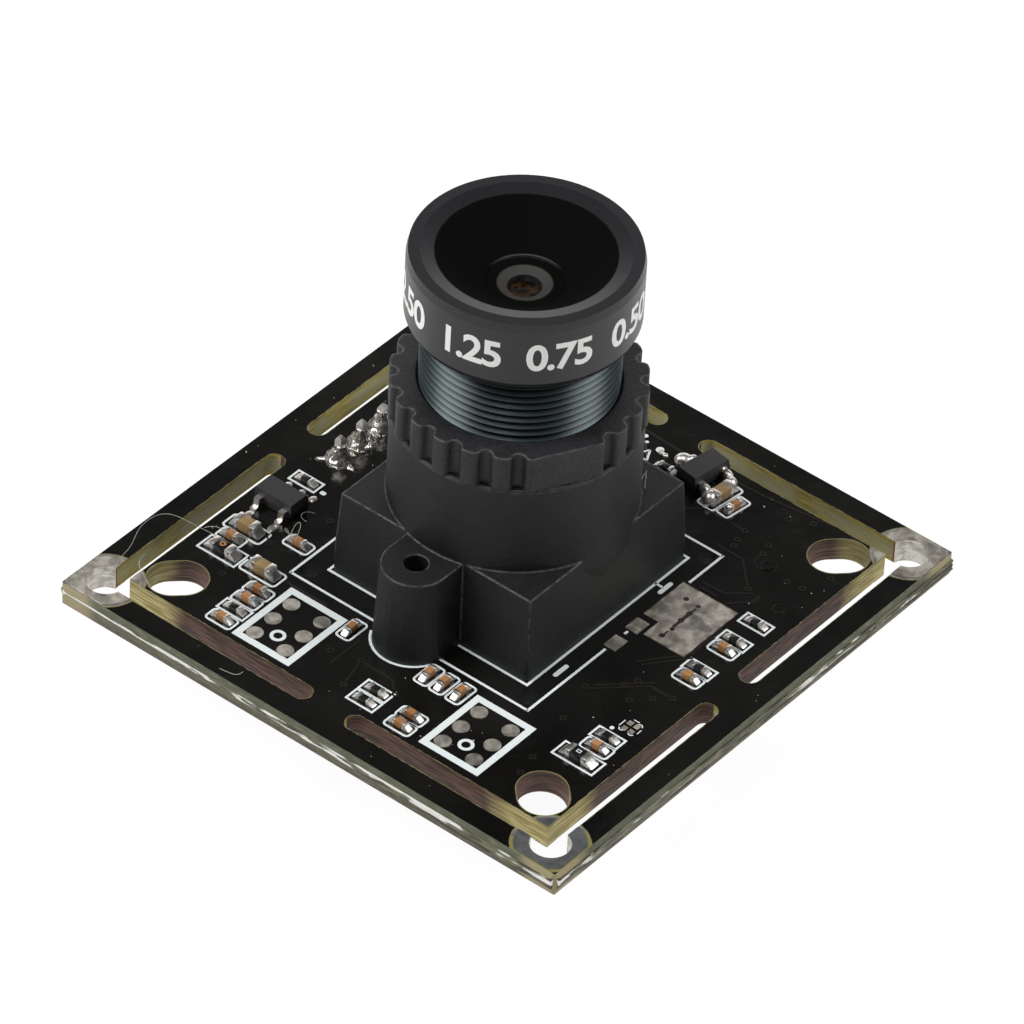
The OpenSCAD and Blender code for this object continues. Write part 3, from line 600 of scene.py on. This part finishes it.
feed(shader, Base_Color=tint(grain(place, 0.5, 2, 34.0), paint("#141310"), paint("#25231f")),
     Roughness=0.24, Normal=relief(grain(place, 0.4, 2, 35.0), 0.01, 0.5))
tracks.data.materials.append(mask)
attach(tracks, "root")

tiny_pads = []
for px, py in ((-6.48, -14.5), (-5.92, -14.5), (-6.48, -14.0), (-5.92, -14.0)):
    tiny_pads.append(print_frame(px - 0.18, py - 0.17, px + 0.18, py + 0.17, 0.16))
bare_footprint = joined("bare_footprint", tiny_pads)
bare_footprint.data.materials.append(tin)
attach(bare_footprint, "root")

# ---------------------------------------------------------------------------------------------
# Chips: sintered ceramic blocks with metal ends, soldered to their pads. Each kind is modelled
# once at the origin, along X, and copied to its places with the solder that climbs its ends.


def rounded_block(length, width, height, rounding, x=0.0, lift_by=0.0):
    """A block that stands at a height over the origin, with all its edges rounded."""
    bpy.ops.mesh.primitive_cube_add(size=1, location=(x * MM, 0, (lift_by + height / 2) * MM))
    block = bpy.context.object
    block.scale = (length * MM, width * MM, height * MM)
    bpy.ops.object.transform_apply()
    edge = block.modifiers.new("edge", "BEVEL")
    edge.width, edge.segments = rounding * MM, 2
    bpy.ops.object.modifier_apply(modifier="edge")
    bpy.ops.object.shade_smooth_by_angle(angle=math.radians(40))
    return block


def solder_wedge(length, width, height, x, rounding=0.35):
    """Solder drawn up an end: a block whose outer top edge is pulled in and down, then softened."""
    pulled_in, pulled_down = 0.15, 0.72
    bpy.ops.mesh.primitive_cube_add(size=1, location=((x + length / 2) * MM, 0, height / 2 * MM))
    wedge = bpy.context.object
    wedge.scale = (length * MM, width * MM, height * MM)
    bpy.ops.object.transform_apply()
    bpy.ops.object.mode_set(mode="EDIT")
    shape = bmesh.from_edit_mesh(wedge.data)
    for vert in shape.verts:
        vert.select = vert.co.x > (x + length * 0.5) * MM and vert.co.z > height * 0.5 * MM
    shape.select_flush_mode()
    bmesh.update_edit_mesh(wedge.data)
    bpy.ops.transform.translate(value=(-length * pulled_in * MM, 0, -height * pulled_down * MM))
    bpy.ops.mesh.select_all(action="SELECT")
    bpy.ops.mesh.bevel(offset=rounding * min(length, height) * 0.5 * MM, segments=2, affect="EDGES")
    bpy.ops.object.mode_set(mode="OBJECT")
    soft = wedge.modifiers.new("soft", "SUBSURF")
    soft.levels = soft.render_levels = 1
    bpy.ops.object.modifier_apply(modifier="soft")
    bpy.ops.object.shade_smooth()
    return wedge


def place_copies(name, master, spots):
    """Copies of a master, each with its own mesh, turned and laid on the board or under it."""
    copies = []
    for cx, cy, turn, under in spots:
        copy = master.copy()
        copy.data = master.data.copy()
        bpy.context.scene.collection.objects.link(copy)
        level = Matrix.Translation((cx * MM, cy * MM, 0 if under else BOARD_TOP * MM))
        flip = Matrix.Rotation(math.pi, 4, "X") if under else Matrix.Identity(4)
        copy.data.transform(level @ flip @ Matrix.Rotation(math.radians(turn), 4, "Z"))
        copies.append(copy)
    bpy.data.objects.remove(master)
    return joined(name, copies)


solder, shader, place = new_finish("solder")
flow = grain(place, 0.45, 2, 40.0)
dull = ramp(grain(place, 0.3, 4, 41.0), 0.55, 0.75)
feed(shader, Base_Color=tint(ramp(flow, 0.3, 0.7), paint("#d6d0ca"), paint("#faf6f1")), Metallic=1.0,
     Roughness=0.34 + dull * 0.2, Normal=relief(flow, 0.05, 0.4))

chip_kinds = (
    # name, length, width, height, metal end, ceramic colours, roughness, solder run and height,
    # then each one's x, y, turn, and 1 where it is under the board
    ("small_capacitor", 1.0, 0.5, 0.5, 0.25, "#8a5833", "#b5824f", 0.5, 0.34, 0.4,
     [(-15.1, -4.15, 90, 0), (-10.6, -2.6, 0, 0), (-10.6, -3.75, 0, 0), (-10.6, -5.0, 0, 0),
      (-10.6, 3.35, 0, 0), (-15.0, 9.65, 90, 0), (-12.75, 9.65, 90, 0), (-6.9, 10.6, 90, 0),
      (-9.1, 14.0, 90, 0), (-0.6, -14.1, 90, 0), (2.75, -14.1, 90, 0), (-8.9, -13.9, 90, 0),
      (13.25, -6.66, -7, 0), (-14.05, -4.15, 90, 0), (-11.7, 9.65, 90, 0),
      (5.9, 3.2, 90, 1), (5.9, 1.4, 90, 1), (5.9, -1.4, 90, 1), (5.9, -3.2, 90, 1),
      (-5.7, 3.2, 90, 1), (-5.7, 1.2, 90, 1)]),
    ("large_capacitor", 1.6, 0.8, 0.75, 0.25, "#846b45", "#ab9063", 0.45, 0.42, 0.62,
     [(-10.2, 10.6, 90, 0), (-7.9, 13.8, 90, 0), (13.55, -5.42, -6, 0)]),
    ("resistor", 1.0, 0.5, 0.35, 0.25, "#100f0f", "#262424", 0.25, 0.34, 0.28,
     [(-14.85, -1.2, 90, 0), (-13.75, -1.2, 90, 0), (-13.85, 9.65, 90, 0), (-2.2, 14.0, 90, 0),
      (-7.8, -13.8, 90, 0), (0.45, -14.1, 90, 0), (3.8, -14.1, 90, 0), (5.85, -14.1, 90, 0),
      (13.25, -1.35, 90, 0)]),
    ("indicator", 1.6, 0.8, 0.6, 0.25, "#0f0e0f", "#221f20", 0.22, 0.5, 0.42,
     [(-10.35, 13.6, 90, 0), (-10.3, -13.65, 90, 0)]),
)
tuck, skin, overlap = 0.06, 0.04, 0.1
for kind, length, width, height, share, dark, light, gloss, run, climb, spots in chip_kinds:
    ceramic, shader, place = new_finish(kind + "_ceramic")
    speck = grain(place, 0.09, 3, 42.0)
    cloud = grain(place, 1.4, 2, 43.0)
    feed(shader, Base_Color=tint(ramp(speck * 0.5 + cloud * 0.5, 0.35, 0.62), paint(dark), paint(light)),
         Roughness=gloss, Normal=relief(speck, 0.01, 0.5))
    end = length * share
    middle = rounded_block(length - 2 * end + tuck, width - skin, height - skin, 0.03)
    bodies = place_copies(kind + "_bodies_fired", middle, spots)
    bodies.data.materials.append(ceramic)
    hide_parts(kind + "_bodies")
    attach(bodies, "root")
    parts = []
    for side in (1, -1):
        cap = rounded_block(end, width, height, 0.07, (length - end) / 2)
        wedge = solder_wedge(run + overlap, width * 1.02, climb, length / 2 - overlap)
        for part in (cap, wedge):
            if side < 0:
                part.data.transform(Matrix.Rotation(math.pi, 4, "Z"))
            parts.append(part)
    metal = place_copies(kind + "_ends_soldered", joined(kind + "_end", parts), spots)
    metal.data.materials.append(solder)
    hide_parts(kind + "_ends")
    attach(metal, "root")

# Marks fired on the two indicator-sized parts: a small copper-coloured ring and a white square.

mark_level = 2.16
ring_mark = joined("ring_mark", [print_ring(-10.35, 13.6, 0.2, 0.1, level=mark_level)])
gold, shader, place = new_finish("copper_mark")
feed(shader, Base_Color=tint(grain(place, 0.1, 2, 44.0), paint("#a9713f"), paint("#d09a68")), Roughness=0.4)
ring_mark.data.materials.append(gold)
square_mark = joined("square_mark", [print_frame(-10.42, -13.8, -10.18, -13.5, 0.05, level=mark_level)])
square_mark.data.materials.append(ink)
for mark in (ring_mark, square_mark):
    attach(mark, "root")

# ---------------------------------------------------------------------------------------------
# Voltage regulators and the chips below: matt epoxy bodies with tinned leads, a regulator's feet
# drowned in solder on their pads.

epoxy, shader, place = new_finish("moulding_epoxy")
speck = grain(place, 0.07, 3, 50.0)
feed(shader, Base_Color=tint(ramp(speck, 0.35, 0.75), paint("#262425"), paint("#3a3738")),
     Roughness=0.42 + speck * 0.15, Normal=relief(speck, 0.015, 0.6))
dress(epoxy, "regulator_bodies", "processor_body", "memory_body")
dress(solder, "regulator_leads", "processor_leads", "memory_leads", "header_pins")


def fused(name, pieces, fineness):
    """Lumps that ran together when molten: joined in one skin, smoothed and cut at the board."""
    mass = joined(name, pieces)
    bpy.context.view_layer.objects.active = mass
    mass.select_set(True)
    skin = mass.modifiers.new("skin", "REMESH")
    skin.mode, skin.voxel_size = "VOXEL", fineness * MM
    bpy.ops.object.modifier_apply(modifier="skin")
    flow = mass.modifiers.new("flow", "SMOOTH")
    flow.factor, flow.iterations = 0.6, 10
    bpy.ops.object.modifier_apply(modifier="flow")
    bpy.ops.object.mode_set(mode="EDIT")
    bpy.ops.mesh.select_all(action="SELECT")
    bpy.ops.mesh.bisect(plane_co=(0, 0, (BOARD_TOP + 0.005) * MM), plane_no=(0, 0, 1), clear_inner=True,
                        use_fill=True)
    bpy.ops.object.mode_set(mode="OBJECT")
    bpy.ops.object.shade_smooth()
    mass.data.name = name
    return mass


def lump(x, y, z, long, wide, high, turn=0.0, lean=0.0):
    """A drop of solder: a ball drawn out to its half sizes, turned, and leant along its length."""
    bpy.ops.mesh.primitive_uv_sphere_add(segments=20, ring_count=12, location=(x * MM, y * MM, z * MM),
                                         rotation=(0, math.radians(lean), math.radians(turn)))
    bpy.context.object.scale = (long * MM, wide * MM, high * MM)
    bpy.ops.object.transform_apply()
    return bpy.context.object


drops = [
    # two legs of the right regulator, drowned to the shoulders and run into the capacitor's ends
    (12.7, -5.15, 1.85, 0.6, 0.52, 0.55), (12.95, -4.6, 2.05, 0.55, 0.34, 0.42, 70, 20),
    (14.55, -5.27, 1.85, 0.5, 0.45, 0.5), (14.9, -4.8, 2.0, 0.5, 0.32, 0.45, 65, 20),
    (15.05, -4.35, 2.2, 0.25, 0.25, 0.25),
    # its leg behind, with the long pad and a bead beside it
    (14.6, -1.67, 1.6, 0.62, 0.5, 0.5, 120), (14.95, -2.1, 1.7, 0.35, 0.3, 0.35),
    (13.3, -1.3, 1.6, 0.72, 0.28, 0.16, 92), (14.21, -0.59, 1.62, 0.2, 0.18, 0.16),
    (14.3, -0.2, 1.6, 0.3, 0.2, 0.12, 60),
    # feet of the left regulator on either side
    (-6.8, 14.6, 1.6, 0.42, 0.28, 0.13), (-6.8, 12.75, 1.6, 0.42, 0.28, 0.13),
    (-3.2, 14.6, 1.6, 0.35, 0.26, 0.14), (-3.2, 13.55, 1.6, 0.35, 0.26, 0.14),
    (-3.2, 12.65, 1.6, 0.35, 0.26, 0.14),
    # ball on the end of the small capacitor beside the regulator
    (12.79, -6.56, 1.85, 0.3, 0.28, 0.3),
]
regulator_solder = fused("regulator_solder", [lump(*drop) for drop in drops], 0.04)
regulator_solder.data.materials.append(solder)
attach(regulator_solder, "root")

can, shader, place = new_finish("drawn_can")
brush = grain(place, 0.2, 3, 51.0, (0.2, 3.0, 1.0))
feed(shader, Base_Color=tint(brush, paint("#94938f"), paint("#bab9b4")), Metallic=1.0,
     Roughness=0.32 + brush * 0.12, Normal=relief(brush, 0.01, 0.4))
dress(can, "crystal_can")

# ---------------------------------------------------------------------------------------------
# Wire header: square pins through the board in rough hand-soldered cones, and below it a shrouded
# housing of natural nylon.

solder_clouds = bpy.data.textures.new("solder_clouds", "CLOUDS")
solder_clouds.noise_scale = 0.6 * MM
solder_clouds.noise_depth = 1
foot_radius, foot_level = 1.05, 1.55
cone_steps = ((0.98, 0.12), (0.84, 0.3), (0.68, 0.5), (0.52, 0.72), (0.4, 0.95), (0.34, 1.2))
cones = []
for number, tall in enumerate((1.0, 1.08, 1.2, 1.1)):
    pin_x, pin_y = 0.75 + 2 * number, 13.85
    bpy.ops.mesh.primitive_circle_add(vertices=9, radius=foot_radius * MM, fill_type="NGON",
                                      location=(pin_x * MM, pin_y * MM, foot_level * MM))
    bpy.ops.object.transform_apply()
    bpy.ops.object.mode_set(mode="EDIT")
    bpy.ops.mesh.select_all(action="SELECT")
    wide, high = foot_radius, 0.0
    for next_wide, next_high in cone_steps:
        rise = (next_high - high) * tall * MM
        bpy.ops.mesh.extrude_region_move(TRANSFORM_OT_translate={"value": (0, 0, rise)})
        share = next_wide / wide
        centre = (pin_x * MM, pin_y * MM, (foot_level + next_high) * MM)
        bpy.ops.transform.resize(value=(share, share, 1), center_override=centre)
        wide, high = next_wide, next_high
    bpy.ops.object.mode_set(mode="OBJECT")
    cones.append(bpy.context.object)
cones += [lump(0.1, 14.55, 1.62, 0.6, 0.16, 0.14, 130), lump(0.55, 13.0, 1.6, 0.5, 0.2, 0.12, 80),
          lump(2.55, 13.2, 1.7, 0.35, 0.3, 0.3, 80)]
pin_cones = fused("pin_cones", cones, 0.035)
ripple = pin_cones.modifiers.new("ripple", "DISPLACE")
ripple.texture, ripple.strength, ripple.mid_level = solder_clouds, 0.16 * MM, 0.5
bpy.ops.object.modifier_apply(modifier="ripple")
streaked, shader, place = new_finish("streaked_solder")
flow = grain(place, 0.3, 2, 45.0, (1.0, 1.0, 0.25))
feed(shader, Base_Color=tint(ramp(flow, 0.3, 0.7), paint("#b7b0a8"), paint("#efebe5")), Metallic=1.0,
     Roughness=0.16 + flow * 0.14, Normal=relief(flow, 0.1, 0.7))
pin_cones.data.materials.append(streaked)
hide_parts("pin_solder")
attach(pin_cones, "root")

nylon, shader, place = new_finish("natural_nylon")
haze = grain(place, 1.2, 3, 52.0)
feed(shader, Base_Color=tint(haze, paint("#cfc9b2"), paint("#e2ddca")), Roughness=0.45,
     Normal=relief(grain(place, 0.15, 2, 53.0), 0.012, 0.5), Subsurface_Weight=0.15,
     Subsurface_Scale=0.8 * MM)
dress(nylon, "header_housing")

# ---------------------------------------------------------------------------------------------
# Sensor group under the holder: ceramic package, cover glass and the pink-coated filter plate.

ceramic, shader, place = new_finish("sensor_ceramic")
feed(shader, Base_Color=tint(grain(place, 0.3, 3, 54.0), paint("#2c2a25"), paint("#403d36")),
     Roughness=0.55, Normal=relief(grain(place, 0.1, 2, 55.0), 0.01, 0.5))
dress(ceramic, "image_sensor")
for name, colour, gloss in (("sensor_cover_glass", "#a8b8ba", 0.05), ("ir_cut_filter", "#8c5a66", 0.04)):
    pane, shader, place = new_finish(name + "_pane")
    haze = grain(place, 2.0, 2, 56.0)
    feed(shader, Base_Color=tint(haze * 0.3, paint(colour), paint("#d8dcdc")),
         Roughness=gloss + haze * 0.03, Transmission_Weight=0.7, IOR=1.5)
    dress(pane, name)

# ---------------------------------------------------------------------------------------------
# Lens holder and lock ring: black moulded plastic with a fine pebbled skin, paler at the edges, partly
# where handling has rubbed them and partly as a painted highlight, with a little dust and a few white
# nicks. Two plated screws hold the holder from below the board.


def moulded_black(name, dark, light, size):
    """Black plastic with pebbles of a size, edges pale from wear and painted highlight, dust specks."""
    finish, shader, place = new_finish(name)
    pebbles = grain(place, size, 3, 60.0)
    patches = grain(place, 2.2, 3, 61.0)
    rounded = place.node("ShaderNodeBevel", {"samples": 6}, {"Radius": 0.24 * MM})
    flat = place.node("ShaderNodeNewGeometry", output="Normal")
    dot = {"operation": "DOT_PRODUCT"}
    facing = place.node("ShaderNodeVectorMath", dot, {0: rounded, 1: flat}, "Value")
    # Pale edges: partly real wear, partly a painted highlight along every rounded edge, convex and hollow.
    rubbed_and_highlit_edges = ramp(facing, 0.985, 0.86) * ramp(grain(place, 0.4, 4, 62.0), 0.3, 0.6)
    dust = ramp(grain(place, 0.13, 1, 63.0), 0.79, 0.84) * ramp(grain(place, 2.5, 2, 64.0), 0.45, 0.6)
    colour = tint(ramp(pebbles * 0.6 + patches * 0.4, 0.38, 0.62), paint(dark), paint(light))
    colour = tint(rubbed_and_highlit_edges * 0.6, colour, paint("#6f7176"))
    colour = tint(dust * 0.6, colour, paint("#8d8b88"))
    feed(shader, Base_Color=colour, Roughness=0.55 - rubbed_and_highlit_edges * 0.15,
         Normal=relief(pebbles, 0.04, 0.6, rounded))
    return finish


dress(moulded_black("holder_black", "#060709", "#121316", 0.16), "lens_holder")
dress(moulded_black("ring_black", "#151517", "#2a2a2d", 0.13), "lock_ring")

plated, shader, place = new_finish("plated_screw")
scuff = grain(place, 0.3, 4, 65.0)
feed(shader, Base_Color=tint(scuff, paint("#83868c"), paint("#b4b7bb")), Metallic=1.0,
     Roughness=0.25 + scuff * 0.2, Normal=relief(scuff, 0.02, 0.4))
dress(plated, "holder_screws")

# ---------------------------------------------------------------------------------------------
# Lens barrel: turned aluminium, anodised black. The head is satin, the thread's crests are painted a
# blue-grey sheen over darker valleys, and the cone round the front glass is dead black but for two
# edges painted pale as highlights.

anodised, shader, place = new_finish("black_anodised")
x, y, z = axis_wires(place)
lens_axis = 0.2
dx, dy = x - lens_axis, y - lens_axis
radius = (dx * dx + dy * dy) ** 0.5
inside = ramp(radius, 5.42, 5.3) * ramp(z, 22.9, 23.0)
threaded = ramp(z, 21.08, 21.02)
# Painted sheen: the thread's crests are painted a paler blue-grey and its valleys darker, as shade.
crest_sheen = ramp(radius, 5.72, 5.96)
mist = grain(place, 0.09, 3, 70.0)
lathe = grain(place, 0.3, 3, 71.0, (0.3, 0.3, 6.0))
head = tint(ramp(mist, 0.35, 0.7), paint("#131417"), paint("#1f2023"))
thread = tint(crest_sheen, paint("#0e1415"), paint("#3f4c4e"))
colour = tint(threaded, head, thread)
colour = tint(inside, colour, paint("#030303"))
# Painted highlights: the edge of the glass seat on the far side and the countersink round the glass are
# painted pale grey as lit edges, and the black cover is thinned over them.
far_side = ramp(dx * 0.797 + dy * 0.605, 0.9, 2.2)
glass_edge_highlight = ramp(abs(radius - 2.38), 0.07, 0.02) * ramp(z, 23.7, 23.6) * far_side
inner_edge_highlight = ramp(abs(radius - 1.34), 0.36, 0.28) * ramp(z, 23.4, 23.3)
painted_edge_highlights = glass_edge_highlight + inner_edge_highlight
colour = tint(painted_edge_highlights * inside, colour, paint("#3c3b38"))
rounded = place.node("ShaderNodeBevel", {"samples": 6}, {"Radius": 0.06 * MM})
feed(shader, Base_Color=colour, Metallic=threaded * 0.5, Roughness=0.36 + inside * 0.35 - threaded * 0.04,
     Normal=relief(mist, 0.01, 0.5, relief(lathe, 0.012, 0.35, rounded)))
soot = place.node("ShaderNodeBsdfDiffuse", inputs={"Color": paint("#0d0d0c"), "Roughness": 1.0})
cover(shader, inside * (1 - painted_edge_highlights * 0.8) * 0.93, soot)
dress(anodised, "lens_barrel")

# Scale on the head: plain white numbers all the way round, each one a flat text that is made a
# mesh, cut fine enough to bend, and wrapped onto the head's side.

head_radius, figures_level = 7.0, 22.6
first_at, figure_pitch, slice_pitch = 56.7, 45, 0.12
numbers = []
for step, figure in enumerate(("0.15", "0.20", "0.30", "0.50", "0.75", "1.25", "2.50", "5.00")):
    bpy.ops.object.text_add(location=(0, 0, 0))
    text = bpy.context.object
    text.data.body = figure
    text.data.align_x = "CENTER"
    text.data.size = 2.6 * MM
    text.data.space_character = 0.92
    text.data.offset = 0.06 * MM
    text.data.extrude = 0.012 * MM
    text.data.resolution_u = 6
    bpy.ops.object.convert(target="MESH")
    bpy.ops.object.mode_set(mode="EDIT")
    for number in range(-24, 25):
        bpy.ops.mesh.select_all(action="SELECT")
        bpy.ops.mesh.bisect(plane_co=(number * slice_pitch * MM, 0, 0), plane_no=(1, 0, 0))
    bpy.ops.object.mode_set(mode="OBJECT")
    middle_angle = math.radians(first_at - figure_pitch * step)
    for vert in text.data.vertices:
        around = middle_angle + vert.co.x / (head_radius * MM)
        out = (head_radius + 0.004) * MM + vert.co.z
        vert.co = Vector((lens_axis * MM + out * math.cos(around), lens_axis * MM + out * math.sin(around),
                          figures_level * MM + vert.co.y))
    numbers.append(text)
scale_print = joined("head_numbers", numbers)
white, shader, place = new_finish("engraver_white")
chipped = ramp(grain(place, 0.1, 3, 72.0), 0.64, 0.74)
feed(shader, Base_Color=tint(chipped * 0.4, paint("#f3f2ef"), paint("#7d7c7a")), Roughness=0.55,
     Normal=relief(grain(place, 0.08, 2, 73.0), 0.01, 0.4))
scale_print.data.materials.append(white)
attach(scale_print, "lens_barrel")

# Glass and what holds it: amber glints of the front element's coating, at the bottom of the cone, are
# painted into its colour as reflection, and the stop, the spacer and the retaining ring are blackened.

# Painted reflection: the amber patches in the front glass's colour stand for its coating's glints.
amber, shader, place = new_finish("coated_front_glass")
haze = grain(place, 0.5, 2, 74.0)
feed(shader, Base_Color=tint(ramp(haze, 0.45, 0.6), paint("#080504"), paint("#3a2613")),
     Roughness=0.04 + haze * 0.05, Coat_Weight=1.0, Coat_Roughness=0.03)
dress(amber, "front_lens")
clear, shader, place = new_finish("clear_glass")
haze = grain(place, 1.0, 2, 75.0)
feed(shader, Base_Color=tint(haze * 0.3, paint("#c9d4d6"), paint("#e9eded")),
     Roughness=0.02 + haze * 0.03, Transmission_Weight=0.9, IOR=1.6)
dress(clear, "middle_lens", "rear_lens")
blackened, shader, place = new_finish("blackened_metal")
haze = grain(place, 0.2, 3, 76.0)
feed(shader, Base_Color=tint(haze, paint("#0b0b0b"), paint("#1c1c1d")), Roughness=0.6,
     Normal=relief(haze, 0.01, 0.5))
dress(blackened, "aperture_stop", "lens_spacer", "rear_retaining_ring")

# ---------------------------------------------------------------------------------------------
# Dust: pale fibres of lint that lie curled on the board and cling to the holder, and specks that
# settled on the mask.


def fibre(*points, thick=0.02):
    """A fibre through points in millimetres: a smooth curve with a round section, made a mesh."""
    path = bpy.data.curves.new("fibre", "CURVE")
    path.dimensions, path.bevel_depth, path.bevel_resolution, path.resolution_u = "3D", thick * MM, 1, 6
    line = path.splines.new("NURBS")
    line.points.add(len(points) - 1)
    for point, spot in zip(line.points, points):
        point.co = (spot[0] * MM, spot[1] * MM, spot[2] * MM, 1)
    line.order_u, line.use_endpoint_u = 4, True
    strand = bpy.data.objects.new("fibre", path)
    bpy.context.scene.collection.objects.link(strand)
    bpy.ops.object.select_all(action="DESELECT")
    bpy.context.view_layer.objects.active = strand
    strand.select_set(True)
    bpy.ops.object.convert(target="MESH")
    return bpy.context.object


lint = joined("lint", [
    # on the board's left corner and round the parts beside it
    fibre((-15.9, 17.3, 1.65), (-15.3, 17.5, 2.0), (-14.7, 17.2, 2.3), (-13.5, 17.7, 2.6),
          (-12.9, 17.9, 2.7), (-11.6, 17.9, 2.8), (-10.8, 17.2, 2.8), (-10.6, 15.8, 2.6),
          (-10.1, 14.6, 2.2), (-9.6, 14.2, 1.7)),
    fibre((-13.9, 16.6, 1.9), (-14.6, 16.5, 2.1), (-15.2, 16.1, 2.1), (-15.5, 15.3, 1.9),
          (-15.7, 14.6, 1.65)),
    fibre((-18.4, 6.9, 1.62), (-18.4, 6.4, 1.7), (-18.4, 5.9, 1.75), (-18.2, 5.6, 1.75),
          (-17.7, 5.7, 1.62)),
    fibre((-10.2, 15.2, 2.4), (-9.7, 14.8, 2.6), (-9.9, 13.8, 2.6), (-9.3, 13.8, 2.4), (-9.5, 14.4, 2.2)),
    fibre((-7.1, 11.1, 2.2), (-6.1, 11.5, 2.5), (-6.0, 11.0, 2.6), (-6.7, 10.8, 2.4), (-7.2, 10.6, 2.2)),
    fibre((-6.9, 11.4, 2.1), (-6.6, 11.9, 2.4), (-7.4, 11.6, 2.4), (-7.0, 11.0, 2.2)),
    fibre((-5.0, 11.6, 1.62), (-5.2, 12.4, 1.8), (-4.4, 12.2, 1.9), (-4.1, 11.7, 1.62)),
    # on the holder's tube
    fibre((4.9, -5.7, 11.5), (5.4, -5.4, 11.2), (5.9, -5.0, 10.6), (6.0, -5.1, 10.0),
          (5.5, -5.5, 9.6), thick=0.016),
    fibre((3.4, -6.8, 10.3), (4.0, -6.5, 10.2), (4.5, -6.3, 9.9), (4.4, -6.4, 9.5), thick=0.016),
    fibre((3.9, -6.7, 9.2), (4.6, -6.2, 9.5), (5.2, -5.8, 9.3), (5.6, -5.5, 8.8), thick=0.016),
])
wool, shader, place = new_finish("pale_lint")
feed(shader, Base_Color=tint(grain(place, 0.4, 2, 80.0), paint("#8b8780"), paint("#d4d0c8")), Roughness=0.7)
lint.data.materials.append(wool)
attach(lint, "root")

# No speck lands under the holder, over the slots or at the corners.

scatter = random.Random(38)
specks = []
while len(specks) < 80:
    px, py = scatter.uniform(-18.5, 18.5), scatter.uniform(-18.5, 18.5)
    nearer, further = sorted((abs(px), abs(py)))
    if further < 10.5 or 15.6 < further < 17.5 or nearer > 11.5:
        continue
    wide = scatter.choice((0.03, 0.03, 0.04, 0.06))
    tumble = [scatter.uniform(0, 3) for axis in range(3)]
    bpy.ops.mesh.primitive_ico_sphere_add(subdivisions=1, radius=wide * MM, rotation=tumble,
                                          location=(px * MM, py * MM, (BOARD_TOP + 0.01) * MM))
    bpy.context.object.scale = (1, scatter.uniform(0.5, 1.8), 0.6)
    bpy.ops.object.transform_apply()
    specks.append(bpy.context.object)
dust = joined("dust_specks", specks)
dust.data.materials.append(wool)
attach(dust, "root")
